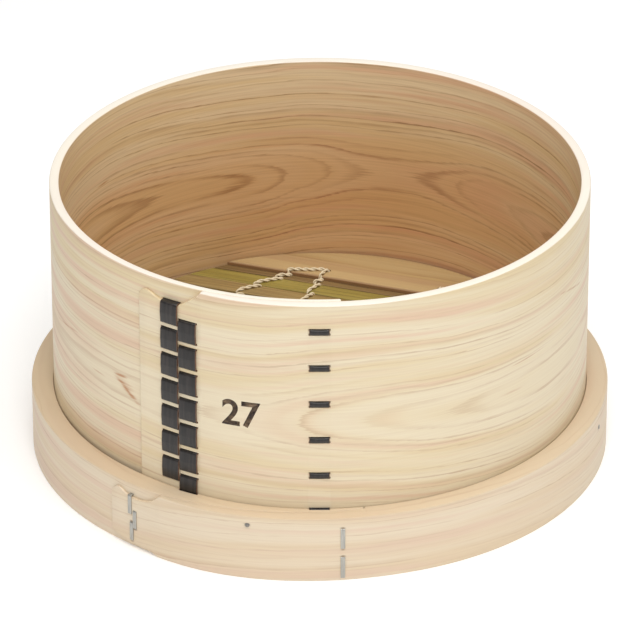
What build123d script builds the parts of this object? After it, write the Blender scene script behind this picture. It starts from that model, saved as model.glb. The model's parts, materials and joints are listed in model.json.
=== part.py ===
from build123d import *
import os
from math import atan2, cos, degrees, hypot, radians, sin, sqrt

# A steamer tier: a drum bent from one cypress board and laced with bark straps, standing in a
# thicker bent base ring, with a loose floor mat of bamboo slats that lifts out.
# Millimetres, +Z up. The origin is the centre of the foot, on the surface the tier stands on.
# An angle is measured round the drum in degrees from the front (-Y), positive towards +X.

# Drum: one board, bent round and lapped on itself at the front left
DRUM_R = 135.0            # outer radius where the board is single
BOARD = 4.8               # board thickness
RIM_Z = 147.0
DRUM_FOOT_Z = 14.0        # the drum stops short of the foot and leaves a socket for the tier below
OUTER_END = -41.0         # where the board ends on the outside
INNER_END = 4.5           # where the board ends on the inside
UNDERLAP_START = -75.0    # from here to its inner end the board is planed thinner
OVERLAP_START = 25.0      # from here to its outer end the board rides over the underlap
UNDERLAP_THINNING = 4.95  # how far the outer face of the underlap sinks by its end
UNDERLAP_LEAN = 2.3       # how far the inner face of the underlap leans in by its end
LAP_GAP = 0.15
LAP_SWELL = 0.7           # the overlap stands this far proud of the drum
LAP_SWELL_AT = -14.0
OVERLAP_THINNING = 1.5    # the overlap is planed down by this much towards its outer end
DRUM_CORNER = [(-41.6, 135.2), (-41.0, 136.4), (-39.2, 139.5), (-35.0, 136.6), (-30.4, 137.2),
               (-28.7, 139.6), (-26.3, 144.2), (-24.8, 148.5)]

# Base ring: a thicker board round the foot, lapped the same way
RING_H = 35.0
RING_R = 144.8
RING_OVAL = 1.25          # it bulges by this much at both sides
RING_SHIFT = 0.15         # and sits this far towards -X
RING_FIT = 0.2            # gap between the ring and the drum
RING_OUTER_END = -44.5
RING_INNER_END = 9.0
RING_UNDERLAP_START = -33.0
RING_LAP_END = 20.0       # the ring is round again from here
RING_SWELL = 3.3
RING_SWELL_AT = -22.0
RING_THINNING = 1.8
RING_INNER_TIP = 1.6      # thickness of the board's inner end
RING_LAP_GAP = 0.12
SOCKET_R = 136.2          # bore that fits over the rim of the tier or pot below
RING_CORNER_TOP = [(-45.4, 27.2), (-44.5, 28.4), (-42.8, 31.3), (-40.5, 28.9), (-37.8, 28.2),
                   (-34.6, 30.2), (-31.6, 36.5)]
RING_CORNER_FOOT = [(-45.4, 6.4), (-44.5, 5.6), (-41.0, 2.6), (-37.0, 2.0), (-34.2, 1.4), (-32.0, -1.5)]

# Bark straps: each is one strip, laced in and out through slits in the drum
STRAP = 0.8
STRAP_W = 9.8
STRAP_TAIL = 6.0
SLIT_H = 1.2
SLIT_W = 10.6
STRAP_CLEAR = 0.1         # between a strap and the board it lies on
POCKET_DEPTH = 1.0        # room under a strap end behind the ring
# name: angle, top of the first outside run, outside run, inside run, outside runs
STRAPS = {
    "seam_strap_left": (-32.7, 136.9, 11.3, 3.1, 7),
    "seam_strap_right": (-28.3, 129.3, 11.3, 3.1, 7),
    "inner_end_strap": (-0.1, 134.0, 2.5, 17.36, 6),
}

# Fasteners of the ring
STAPLE_W = 2.2
STAPLE_WIRE = 0.5
STAPLE_LEG = 8.0
STAPLE_CLEAR = 0.05
SEAM_STAPLES = [(-39.5, 18.7, 29.7), (-38.3, 11.2, 21.5), (-39.1, 4.1, 14.6)]   # angle, foot, top
INNER_END_STAPLES = [(4.4, 17.8, 29.2), (4.4, 1.3, 13.3)]
NAILS = [(-13.9, 30.4), (74.0, 26.5), (166.0, 29.0), (-104.0, 28.0)]            # angle, height
NAIL_R = 0.8
NAIL_HEAD_R = 1.3
NAIL_HEAD_H = 0.5
NAIL_LENGTH = 26.0
NAIL_SLOPE = 12.0         # driven slightly downwards, into the end grain of a cross bar

# Cross bars: half-lapped at the middle, they carry the mat
BAR_TOP_Z = 29.6
BAR_W = 16.0
BAR_H = 14.0
BAR_ANGLE = -14.0         # direction of the upper bar, the lower bar is square to it
BAR_EDGE = 1.2
HALF_LAP_FIT = 0.1

# Floor mat: drawn with its slats along X, then turned, and pushed back against the drum
MAT_TURN = -18.9
MAT_SHIFT = 1.2
MAT_R = 127.8
BOARD_CHORD = 96.1        # straight edge of a D-shaped end board, from the mat's centre
MAT_BOARD_H = 6.0
MAT_BOARD_EDGE = 0.7
SLAT_REACH = 127.4        # the slat ends are sawn to this radius
SLAT_Z = 31.0
SLAT_H = 2.6
SLAT_CROWN = 0.45
SLAT_COUNT = 16
FIELD = 90.3              # the wide slats fill this far from the centre, each way
NARROW_GAP = 0.6
WIDE_GAP = 1.6
FILLER_EDGES = (95.4, 90.9)
STRING_W = 1.8
STRING_H = 1.3
STRING_CLEAR = 0.05
STRING_HOLE_R = 1.6
STRING_HOLE = (30.9, 103.0)
INNER_STRING_X = 32.6
# the outer strings slant to reach the shared hole: first and last the line, then the edge of the board
OUTER_STRING_BEND = [(68.5, 67.0), (61.7, 79.7), (53.7, 90.6), (50.0, 95.75)]
POST_W = 0.4
HOLE_POST_W = 2.2

CUT = 6.0                 # how far a cutter runs past what it cuts
CURVE_STEP = 7.5          # degrees between the points of a curved board face
RING_STEP = 0.3           # degrees past the ring's inner end where its outer layer closes in again


def at(angle, radius, z=0.0):
    return Vector(radius * sin(radians(angle)), -radius * cos(radians(angle)), z)


def ramp(x, start, end):
    t = min(max((x - start) / (end - start), 0.0), 1.0)
    return t * t * (3 - 2 * t)


def face_curve(radius_at, start, end):
    count = max(3, round(abs(end - start) / CURVE_STEP))
    angles = [start + (end - start) * i / count for i in range(count + 1)]
    return Spline(*[at(a, radius_at(a)) for a in angles])


def round_face(radius_at, start, end):
    return ThreePointArc(*[at(a, radius_at(a)) for a in (start, (start + end) / 2, end)])


def step(angle, radius_from, radius_to):
    return Line(at(angle, radius_from), at(angle, radius_to))


def solid_of(edges, foot, top):
    return Pos(0, 0, foot) * extrude(make_face(edges), top - foot)


# Radii of the drum's faces at an angle

def drum_outside(angle):
    swell = LAP_SWELL * ramp(angle, OVERLAP_START, LAP_SWELL_AT)
    return DRUM_R + swell - OVERLAP_THINNING * ramp(angle, LAP_SWELL_AT, OUTER_END)


def underlap_share(angle):
    return (angle - UNDERLAP_START) / (INNER_END - UNDERLAP_START)


def underlap_outside(angle):
    return DRUM_R - UNDERLAP_THINNING * underlap_share(angle)


def drum_inside(angle):
    return DRUM_R - BOARD - UNDERLAP_LEAN * underlap_share(angle)


def overlap_inside(angle):
    return underlap_outside(angle) + LAP_GAP


# Radii of the ring's faces at an angle

def ring_round(angle):
    side = sin(radians(angle))
    return RING_R + RING_OVAL * side ** 4 - RING_SHIFT * side


def ring_bore(angle):
    if angle >= OUTER_END:
        return drum_outside(angle) + RING_FIT
    sink = DRUM_R - drum_outside(OUTER_END)
    return DRUM_R + RING_FIT - sink * ramp(angle, UNDERLAP_START, OUTER_END)


def ring_outside(angle):
    swell = RING_SWELL * ramp(angle, RING_LAP_END, RING_SWELL_AT)
    return ring_round(angle) + swell - RING_THINNING * ramp(angle, RING_SWELL_AT, RING_OUTER_END)


def ring_underlap_outside(angle):
    if angle <= RING_UNDERLAP_START:
        return ring_round(angle)
    share = (angle - RING_UNDERLAP_START) / (RING_INNER_END - RING_UNDERLAP_START)
    tip = ring_bore(RING_INNER_END) + RING_INNER_TIP
    return ring_round(RING_UNDERLAP_START) * (1 - share) + tip * share


def ring_overlap_inside(angle):
    return ring_underlap_outside(angle) + RING_LAP_GAP


def drum_layer_split(angle):
    return underlap_outside(angle) + LAP_GAP / 2


def ring_layer_split(angle):
    return ring_underlap_outside(angle) + RING_LAP_GAP / 2


def corner_cutter(corner, beyond_z, layer_inside):
    # Trims a corner of an overlap along a curve, and leaves the board under it whole.
    first, last = corner[0][0], corner[-1][0]
    middle = (first + last) / 2
    reach = layer_inside(middle) + 2 * CUT
    shell = solid_of([
        face_curve(layer_inside, first, last),
        step(last, layer_inside(last), reach),
        round_face(lambda a: reach, last, first),
        step(first, reach, layer_inside(first)),
    ], -CUT, RIM_Z + CUT)
    along = [(reach * sin(radians(a - middle)), z) for a, z in corner]
    outward = Plane(origin=at(middle, reach), x_dir=at(middle + 90, 1), z_dir=at(middle, 1))
    far = [(along[-1][0] + CUT, along[-1][1]), (along[-1][0] + CUT, beyond_z),
           (along[0][0] - CUT, beyond_z), (along[0][0] - CUT, along[0][1])]
    outline = [Spline(*along), Polyline(along[-1], *far, along[0])]
    prism = extrude(outward * make_face(outline), -4 * CUT)
    return shell & prism


def radial_box(angle, r0, r1, width, z0, z1):
    middle = at(angle, (r0 + r1) / 2, (z0 + z1) / 2)
    return Pos(*middle) * Rot(0, 0, angle - 90) * Box(r1 - r0, width, z1 - z0)


def strap_runs(name):
    # Top and foot of each run of a strap on the outside of the drum.
    _, top, outside, inside, count = STRAPS[name]
    return [(top - i * (outside + inside), top - i * (outside + inside) - outside) for i in range(count)]


def body_hoop():
    board = solid_of([
        face_curve(drum_outside, OUTER_END, OVERLAP_START),
        round_face(lambda a: DRUM_R, OVERLAP_START, 360 + UNDERLAP_START),
        face_curve(underlap_outside, UNDERLAP_START, INNER_END),
        step(INNER_END, underlap_outside(INNER_END), drum_inside(INNER_END)),
        face_curve(drum_inside, INNER_END, UNDERLAP_START),
        round_face(lambda a: DRUM_R - BOARD, 360 + UNDERLAP_START, INNER_END),
        face_curve(overlap_inside, INNER_END, OUTER_END),
        step(OUTER_END, overlap_inside(OUTER_END), drum_outside(OUTER_END)),
    ], DRUM_FOOT_Z, RIM_Z)
    slits = []
    for name, values in STRAPS.items():
        for z in [z for run in strap_runs(name) for z in run]:
            slits.append(radial_box(values[0], DRUM_R - 2 * CUT, DRUM_R + CUT, SLIT_W,
                                    z - SLIT_H / 2, z + SLIT_H / 2))
    return board - corner_cutter(DRUM_CORNER, RIM_Z + CUT, drum_layer_split) - slits


def base_ring():
    step_angle = RING_INNER_END + RING_STEP
    board = solid_of([
        face_curve(ring_outside, RING_OUTER_END, RING_LAP_END),
        face_curve(ring_round, RING_LAP_END, 360 + RING_UNDERLAP_START),
        face_curve(ring_underlap_outside, RING_UNDERLAP_START, RING_INNER_END),
        step(RING_INNER_END, ring_underlap_outside(RING_INNER_END), ring_bore(RING_INNER_END)),
        face_curve(ring_bore, RING_INNER_END, UNDERLAP_START),
        round_face(lambda a: DRUM_R + RING_FIT, 360 + UNDERLAP_START, OVERLAP_START),
        face_curve(ring_bore, OVERLAP_START, step_angle),
        Line(at(step_angle, ring_bore(step_angle)), at(step_angle, ring_overlap_inside(RING_INNER_END))),
        Line(at(step_angle, ring_overlap_inside(RING_INNER_END)),
             at(RING_INNER_END, ring_overlap_inside(RING_INNER_END))),
        face_curve(ring_overlap_inside, RING_INNER_END, RING_UNDERLAP_START),
        face_curve(ring_overlap_inside, RING_UNDERLAP_START, RING_OUTER_END),
        step(RING_OUTER_END, ring_overlap_inside(RING_OUTER_END), ring_outside(RING_OUTER_END)),
    ], 0, RING_H)
    board -= corner_cutter(RING_CORNER_TOP, RING_H + CUT, ring_layer_split)
    board -= corner_cutter(RING_CORNER_FOOT, -CUT, ring_layer_split)
    board -= Pos(0, 0, (DRUM_FOOT_Z - CUT) / 2) * Cylinder(SOCKET_R, DRUM_FOOT_Z + CUT)
    # room behind the ring for the straps that run down past the ledge
    for name, values in STRAPS.items():
        foot = strap_runs(name)[-1][1]
        if foot < RING_H:
            proud = drum_outside(values[0]) + RING_FIT + 2 * STRAP
            board -= radial_box(values[0], DRUM_R - CUT, proud, SLIT_W, foot - POCKET_DEPTH, RING_H + CUT)
    return board


def strap(name):
    angle = STRAPS[name][0]
    half = degrees(STRAP_W / 2 / DRUM_R)
    outer = max(drum_outside(angle - half), drum_outside(angle + half)) + STRAP_CLEAR
    inner = min(drum_inside(angle - half), drum_inside(angle + half)) - STRAP_CLEAR
    runs = strap_runs(name)
    lap = STRAP / 2

    def strip(r0, r1, z0, z1):
        return radial_box(angle, r0, r1, STRAP_W, z0, z1)

    pieces = [strip(outer, outer + STRAP, foot - lap, top + lap) for top, foot in runs]
    pieces += [strip(inner - STRAP, outer + STRAP, z - lap, z + lap) for run in runs for z in run]
    pieces += [strip(inner - STRAP, inner, top_below - lap, foot + lap)
               for (_, foot), (top_below, _) in zip(runs, runs[1:])]
    pieces.append(strip(inner - STRAP, inner, runs[0][0] - lap, runs[0][0] + STRAP_TAIL))
    pieces.append(strip(inner - STRAP, inner, runs[-1][1] - STRAP_TAIL, runs[-1][1] + lap))
    return pieces[0] + pieces[1:]


def staple(angle, foot, top):
    face = ring_outside(angle)
    under = face + STAPLE_CLEAR
    crown = radial_box(angle, under, under + STAPLE_WIRE, STAPLE_W, foot, top)
    legs = [radial_box(angle, face - STAPLE_LEG, under + STAPLE_CLEAR, STAPLE_W, z, z + STAPLE_WIRE)
            for z in (foot, top - STAPLE_WIRE)]
    return crown + legs


def nail(angle, z):
    face = ring_outside(angle) if RING_OUTER_END < angle < RING_LAP_END else ring_round(angle)
    place = Pos(*at(angle, face, z)) * Rot(0, 0, angle - 90) * Rot(0, -90 - NAIL_SLOPE, 0)
    shank = Pos(0, 0, NAIL_LENGTH / 2) * Cylinder(NAIL_R, NAIL_LENGTH)
    head = Pos(0, 0, -NAIL_HEAD_H / 4) * Cylinder(NAIL_HEAD_R, NAIL_HEAD_H)
    return place * (shank + head)


def drum_cavity(gap, foot, top):
    return solid_of([
        round_face(lambda a: DRUM_R - BOARD - gap, INNER_END, 360 + UNDERLAP_START),
        face_curve(lambda a: drum_inside(a) - gap, UNDERLAP_START, INNER_END),
        step(INNER_END, drum_inside(INNER_END) - gap, DRUM_R - BOARD - gap),
    ], foot, top)


def cross_bar(angle, upper):
    long = 2 * DRUM_R
    foot = BAR_TOP_Z - BAR_H
    bar = Box(long, BAR_W, BAR_H)
    bar = chamfer(bar.edges().filter_by(Axis.X), BAR_EDGE)
    notch_z = -BAR_H / 4 - HALF_LAP_FIT if upper else BAR_H / 4 + HALF_LAP_FIT
    bar -= Pos(0, 0, notch_z) * Box(BAR_W + 2 * HALF_LAP_FIT, BAR_W + CUT, BAR_H / 2 + 2 * HALF_LAP_FIT)
    bar = Pos(0, 0, foot + BAR_H / 2) * Rot(0, 0, angle - 90) * bar
    return bar & drum_cavity(LAP_GAP, foot - CUT, BAR_TOP_Z + CUT)


def mat_place(shape):
    return Pos(0, MAT_SHIFT, 0) * Rot(0, 0, MAT_TURN) * shape


def mat_board(side):
    disc = Cylinder(MAT_R, MAT_BOARD_H)
    keep = Pos(0, BOARD_CHORD + MAT_R, 0) * Box(4 * MAT_R, 2 * MAT_R, 2 * MAT_BOARD_H)
    board = disc & keep
    board = chamfer(board.faces().sort_by(Axis.Z)[-1].edges(), MAT_BOARD_EDGE)
    for x in (-STRING_HOLE[0], STRING_HOLE[0]):
        board -= Pos(x, STRING_HOLE[1], 0) * Cylinder(STRING_HOLE_R, 2 * MAT_BOARD_H)
    return mat_place(Rot(0, 0, 0 if side > 0 else 180) * Pos(0, 0, BAR_TOP_Z + MAT_BOARD_H / 2) * board)


def slat_edges():
    # Far and near edge of each wide slat, from the back of the mat to the front.
    gaps = [WIDE_GAP if i % 2 else NARROW_GAP for i in range(SLAT_COUNT - 1)]
    width = (2 * FIELD - sum(gaps)) / SLAT_COUNT
    edges = [(FIELD, FIELD - width)]
    for gap in gaps:
        far = edges[-1][1] - gap
        edges.append((far, far - width))
    return edges


def slat(far, near):
    half = sqrt(SLAT_REACH ** 2 - min(abs(far), abs(near)) ** 2)
    shoulder = SLAT_Z + SLAT_H - SLAT_CROWN
    middle = (far + near) / 2
    outline = [
        Polyline((far, shoulder), (far, SLAT_Z), (near, SLAT_Z), (near, shoulder)),
        ThreePointArc((near, shoulder), (middle, SLAT_Z + SLAT_H), (far, shoulder)),
    ]
    strip = Pos(-half, 0, 0) * extrude(Plane.YZ * make_face(outline), 2 * half)
    return mat_place(strip & Pos(0, 0, SLAT_Z) * Cylinder(SLAT_REACH, 4 * SLAT_H))


def strand(start, end, foot):
    run = hypot(end[0] - start[0], end[1] - start[1])
    turn = degrees(atan2(end[1] - start[1], end[0] - start[0]))
    middle = Pos((start[0] + end[0]) / 2, (start[1] + end[1]) / 2, foot + STRING_H / 2)
    return middle * Rot(0, 0, turn) * Box(run + STRING_W / 2, STRING_W, STRING_H)


def post(x, y, foot, top, width=POST_W):
    return Pos(x, y, (foot + top) / 2) * Box(STRING_W, width, top - foot)


def string_heights():
    over = SLAT_Z + SLAT_H + STRING_CLEAR
    under = SLAT_Z - STRING_H - STRING_CLEAR
    on_board = BAR_TOP_Z + MAT_BOARD_H + STRING_CLEAR
    return over, under, on_board


def gap_middles(reach):
    # Middles of the gaps between the slats, out to a distance from the centre.
    edges = slat_edges()
    gaps = [(a[1] + b[0]) / 2 for a, b in zip(edges, edges[1:])]
    field_gap = (FIELD + FILLER_EDGES[1]) / 2
    return [y for y in [field_gap, *gaps, -field_gap] if abs(y) < reach]


def board_run(x, y_sign):
    # The string's way from the edge of the end board to its hole.
    _, under, on_board = string_heights()
    riser_y = OUTER_STRING_BEND[-1][1]
    hole = (STRING_HOLE[0], STRING_HOLE[1] * y_sign)
    edge = (x, (riser_y + STRING_W / 4) * y_sign)
    return [
        post(x, riser_y * y_sign, under, on_board + STRING_H),
        strand(edge, hole, on_board),
        post(*hole, SLAT_Z, on_board + STRING_H, HOLE_POST_W),
    ]


def lacing_string(x_sign):
    # One cord: it twines the slats along an inner and an outer line, and both lines use the same holes.
    over, under, _ = string_heights()
    turn_x, turn_y = OUTER_STRING_BEND[0]
    riser_y = OUTER_STRING_BEND[-1][1]
    between_boards = Box(4 * MAT_R, 2 * riser_y + POST_W, 4 * RIM_Z)
    pieces = []
    for x, reach in ((INNER_STRING_X, riser_y), (turn_x, turn_y)):
        pieces += [strand((x, -reach), (x, reach), z) & between_boards for z in (over, under)]
        pieces += [post(x, y, under, over + STRING_H) for y in gap_middles(reach)]
    for y_sign in (1, -1):
        bend = [(x, y * y_sign) for x, y in OUTER_STRING_BEND]
        pieces += [strand(a, b, over) & between_boards for a, b in zip(bend, bend[1:])]
        pieces += [post(x, y, under, over + STRING_H) for x, y in bend[1:-1]]
        pieces += board_run(INNER_STRING_X, y_sign) + board_run(bend[-1][0], y_sign)
    return mat_place(Rot(0, 0, 0 if x_sign > 0 else 180) * (pieces[0] + pieces[1:]))


def all_parts():
    parts = {"body_hoop": body_hoop(), "base_ring": base_ring()}
    for name in STRAPS:
        parts[name] = strap(name)
    parts["seam_staples"] = Compound(children=[Part() + staple(*s) for s in SEAM_STAPLES])
    parts["inner_end_staples"] = Compound(children=[Part() + staple(*s) for s in INNER_END_STAPLES])
    parts["ring_nails"] = Compound(children=[Part() + nail(*n) for n in NAILS])
    parts["cross_bar_upper"] = cross_bar(BAR_ANGLE, True)
    parts["cross_bar_lower"] = cross_bar(BAR_ANGLE + 90, False)
    parts["mat_board_back"] = mat_board(1)
    parts["mat_board_front"] = mat_board(-1)
    parts["filler_slat_back"] = slat(*FILLER_EDGES)
    parts["filler_slat_front"] = slat(-FILLER_EDGES[1], -FILLER_EDGES[0])
    for i, edges in enumerate(slat_edges(), 1):
        parts[f"slat_{i:02d}"] = slat(*edges)
    for side, sign in (("right", 1), ("left", -1)):
        parts[f"lacing_string_{side}"] = lacing_string(sign)
    return parts


os.makedirs("parts", exist_ok=True)
for node, shape in all_parts().items():
    export_step(shape, f"parts/{node}.step")
    print(node, round(shape.volume), "mm3")
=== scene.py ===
# %% [markdown]
# # A steamer tier, from the frame to the finish
# The tier is a drum bent from one thin cypress board and laced shut with bark. It stands in a
# thicker bent ring, and a loose mat of bamboo slats lies inside on two crossed bars.
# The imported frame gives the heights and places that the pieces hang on, in metres, with +Z up.
# Radii and laps repeat the part's own numbers. Angles are measured round the drum from the front
# (-Y), positive towards +X.

# %% Load the frame
import json
from math import atan2, cos, degrees, pi, radians, sin, sqrt

import bmesh
import bpy
from mathutils import Matrix, Vector
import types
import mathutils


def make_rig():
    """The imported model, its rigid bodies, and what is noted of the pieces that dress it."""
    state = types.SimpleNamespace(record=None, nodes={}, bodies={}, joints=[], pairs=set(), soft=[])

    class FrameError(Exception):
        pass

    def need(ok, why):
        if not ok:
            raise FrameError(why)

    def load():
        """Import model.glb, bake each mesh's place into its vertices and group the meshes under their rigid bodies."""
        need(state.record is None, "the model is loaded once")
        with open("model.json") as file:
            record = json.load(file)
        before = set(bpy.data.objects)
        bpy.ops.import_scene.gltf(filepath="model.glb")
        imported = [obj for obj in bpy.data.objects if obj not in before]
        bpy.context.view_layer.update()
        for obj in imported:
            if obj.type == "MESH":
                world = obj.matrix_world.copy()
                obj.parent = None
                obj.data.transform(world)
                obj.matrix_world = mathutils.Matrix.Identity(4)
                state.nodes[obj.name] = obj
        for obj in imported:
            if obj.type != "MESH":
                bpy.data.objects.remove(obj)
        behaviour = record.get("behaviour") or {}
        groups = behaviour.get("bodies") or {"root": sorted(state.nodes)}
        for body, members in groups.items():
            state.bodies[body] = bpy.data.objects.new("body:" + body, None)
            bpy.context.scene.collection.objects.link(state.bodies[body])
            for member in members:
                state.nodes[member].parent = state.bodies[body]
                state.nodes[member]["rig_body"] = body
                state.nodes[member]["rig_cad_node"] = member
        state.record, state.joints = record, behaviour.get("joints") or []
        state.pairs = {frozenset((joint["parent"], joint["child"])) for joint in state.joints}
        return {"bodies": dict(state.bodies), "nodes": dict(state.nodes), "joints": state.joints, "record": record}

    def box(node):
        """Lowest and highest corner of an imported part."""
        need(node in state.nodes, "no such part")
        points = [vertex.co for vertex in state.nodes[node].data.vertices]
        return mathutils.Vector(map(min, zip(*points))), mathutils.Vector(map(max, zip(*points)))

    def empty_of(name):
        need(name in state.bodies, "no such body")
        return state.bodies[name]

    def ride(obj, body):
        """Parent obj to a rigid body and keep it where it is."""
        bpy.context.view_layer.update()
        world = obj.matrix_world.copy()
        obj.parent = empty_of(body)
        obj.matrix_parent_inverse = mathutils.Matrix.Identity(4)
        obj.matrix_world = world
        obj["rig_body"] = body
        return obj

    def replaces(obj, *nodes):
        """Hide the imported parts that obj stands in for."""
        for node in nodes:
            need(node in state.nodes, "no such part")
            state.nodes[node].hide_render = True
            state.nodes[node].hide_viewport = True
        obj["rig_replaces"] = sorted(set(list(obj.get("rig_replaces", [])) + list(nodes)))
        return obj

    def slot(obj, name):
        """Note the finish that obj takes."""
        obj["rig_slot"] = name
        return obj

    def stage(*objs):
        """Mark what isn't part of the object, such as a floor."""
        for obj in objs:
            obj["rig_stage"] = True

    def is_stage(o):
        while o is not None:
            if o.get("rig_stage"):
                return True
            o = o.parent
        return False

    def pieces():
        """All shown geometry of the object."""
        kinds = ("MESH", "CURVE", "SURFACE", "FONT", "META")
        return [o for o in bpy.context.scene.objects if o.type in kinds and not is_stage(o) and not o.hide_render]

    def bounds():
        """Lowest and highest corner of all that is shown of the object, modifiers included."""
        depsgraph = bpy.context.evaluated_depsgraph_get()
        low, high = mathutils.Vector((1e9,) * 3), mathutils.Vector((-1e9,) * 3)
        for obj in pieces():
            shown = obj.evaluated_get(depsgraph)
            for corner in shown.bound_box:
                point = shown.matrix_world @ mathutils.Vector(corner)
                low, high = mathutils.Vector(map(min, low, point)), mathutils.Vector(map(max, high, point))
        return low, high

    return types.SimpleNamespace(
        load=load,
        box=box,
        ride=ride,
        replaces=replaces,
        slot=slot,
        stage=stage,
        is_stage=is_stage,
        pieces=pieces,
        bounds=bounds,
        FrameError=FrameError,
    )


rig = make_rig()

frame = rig.load()
cad_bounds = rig.bounds()
MM = 0.001
DRUM_FOOT, RIM = (corner.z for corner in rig.box("body_hoop"))
RING_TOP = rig.box("base_ring")[1].z
bore = next(m for m in frame["record"]["mounts"] if m["kind"] == "bore")
SOCKET_RADIUS = bore["dims"]["r_mm"] * MM
print("drum from", DRUM_FOOT, "to", RIM, "ring", RING_TOP, "socket", SOCKET_RADIUS)

# %% [markdown]
# ## Two small helpers
# Colours are written as sRGB hex, as a paint chart gives them, and Blender wants linear light, so
# one function turns them. A second function adds any node, sets it and links it, which keeps
# every material and every Geometry Nodes tree readable from top to bottom.

# %% Colour and node helpers
def linear(hex_colour):
    parts = [int(hex_colour[i:i + 2], 16) / 255 for i in (1, 3, 5)]
    return (*[c / 12.92 if c <= 0.04045 else ((c + 0.055) / 1.055) ** 2.4 for c in parts], 1.0)


def add(tree, kind, inputs=None, **settings):
    made = tree.nodes.new(kind)
    for name, value in settings.items():
        setattr(made, name, value)
    for key, value in (inputs or {}).items():
        free = [s for s in made.inputs if s.enabled]
        socket = free[key] if isinstance(key, int) else next(s for s in free if s.name == key)
        for source in value if isinstance(value, list) else [value]:
            if isinstance(source, bpy.types.Node):
                source = next(s for s in source.outputs if s.enabled)
            if isinstance(source, bpy.types.NodeSocket):
                tree.links.new(source, socket)
            else:
                socket.default_value = source
    return made


print("cream in linear light", linear("#EBD8AC"))

# %% [markdown]
# ## The camera
# A long lens from well back keeps the two rims of the drum almost parallel, as a studio picture
# of a small object does. The camera looks down by a little under 29 degrees, so that the ledge,
# the inside of the drum and part of the mat all show.

# %% Camera
LENS = 331.5
CAMERA_PLACE = Vector((0.0, -2.613, 1.494))
CAMERA_TARGET = Vector((0.0, 0.0, 0.0655))

camera_data = bpy.data.cameras.new("camera")
camera_data.lens = LENS
camera_data.clip_end = 20
camera = bpy.data.objects.new("camera", camera_data)
camera.location = CAMERA_PLACE
camera.rotation_euler = (CAMERA_TARGET - CAMERA_PLACE).to_track_quat("-Z", "Y").to_euler()
bpy.context.scene.collection.objects.link(camera)
bpy.context.scene.camera = camera
print("camera distance", round((CAMERA_TARGET - CAMERA_PLACE).length, 3))

# %% [markdown]
# ## Light and floor
# Pale wood needs a high-key setup. A white world fills the shade, one large soft panel stands in
# front and above and lights the outside of the drum, and another hangs overhead and lights the
# rim, the ledge and the inside. The paper floor glows faintly by itself, so that it stays white
# right up to the contact shadow. The Standard view keeps white as white.

# %% Light and floor
WORLD_STRENGTH = 0.31
FLOOR_SIZE = 6.0
FLOOR_GLOW = 0.19
# place and diameter in metres, power in watts
PANELS = {
    "key_panel": ((0.15, -2.1, 2.1), 1.1, 24),
    "top_panel": ((0.1, -0.2, 1.5), 1.6, 17.5),
}

scene = bpy.context.scene
scene.view_settings.view_transform = "Standard"
world = bpy.data.worlds.new("studio")
world.use_nodes = True
sky = world.node_tree.nodes["Background"]
sky.inputs["Color"].default_value = linear("#FFFFFF")
sky.inputs["Strength"].default_value = WORLD_STRENGTH
scene.world = world


def panel(name, place, size, power):
    light = bpy.data.lights.new(name, "AREA")
    light.shape = "DISK"
    light.size = size
    light.energy = power
    lamp = bpy.data.objects.new(name, light)
    lamp.location = place
    towards = Vector((0, 0, RIM / 2)) - Vector(place)
    lamp.rotation_euler = towards.to_track_quat("-Z", "Y").to_euler()
    scene.collection.objects.link(lamp)


for panel_name, (place, size, power) in PANELS.items():
    panel(panel_name, place, size, power)

floor_mesh = bpy.data.meshes.new("floor")
half = FLOOR_SIZE / 2
floor_mesh.from_pydata([(-half, -half, 0), (half, -half, 0), (half, half, 0), (-half, half, 0)],
                       [], [(0, 1, 2, 3)])
floor = bpy.data.objects.new("floor", floor_mesh)
scene.collection.objects.link(floor)
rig.stage(floor)
paper = bpy.data.materials.new("white_paper_roll")
paper.use_nodes = True
for socket, value in {"Base Color": linear("#F7F6F4"), "Roughness": 0.9,
                      "Emission Color": linear("#FFFFFF"), "Emission Strength": FLOOR_GLOW}.items():
    paper.node_tree.nodes["Principled BSDF"].inputs[socket].default_value = value
floor_mesh.materials.append(paper)
print("world strength", WORLD_STRENGTH, "panels", len(PANELS), "floor glow", FLOOR_GLOW)

# %% [markdown]
# ## How a board is wound
# Both hoops are a straight board, planed thin at its two ends, steamed, bent and lapped on
# itself. So one rule gives each hoop: at every angle along the board it has an outer radius, an
# inner radius, a foot and a top. The angle runs on past 360 degrees, because the board passes
# under its own start. Smooth ramps swell and thin the lap.

# %% The rule of the drum
DRUM_RADIUS = 135.0 * MM
BOARD = 4.8 * MM
OUTER_END, INNER_END, UNDERLAP_START, LAP_END, SWELL_AT = -41.0, 364.5, 285.0, 25.0, -14.0
# in millimetres: the lap's swelling and the planing of the seen end on the outer face, then how
# far the hidden end's outer and inner faces move in, and the seen end's inner face moves out
LAP_SWELL, SEEN_END_PLANED = 0.7, 1.5
HIDDEN_END_SINKS, HIDDEN_END_INSIDE, SEEN_END_INSIDE = 4.95, 2.3, 2.68
DRUM_CORNER = [(-41.6, 135.2), (-41.0, 136.4), (-39.2, 139.5), (-35.0, 136.6), (-30.4, 137.2),
               (-28.7, 139.6), (-26.3, 144.2), (-24.8, 148.5)]


def share(x, start, end):
    return min(max((x - start) / (end - start), 0.0), 1.0)


def ramp(x, start, end):
    t = share(x, start, end)
    return t * t * (3 - 2 * t)


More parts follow.
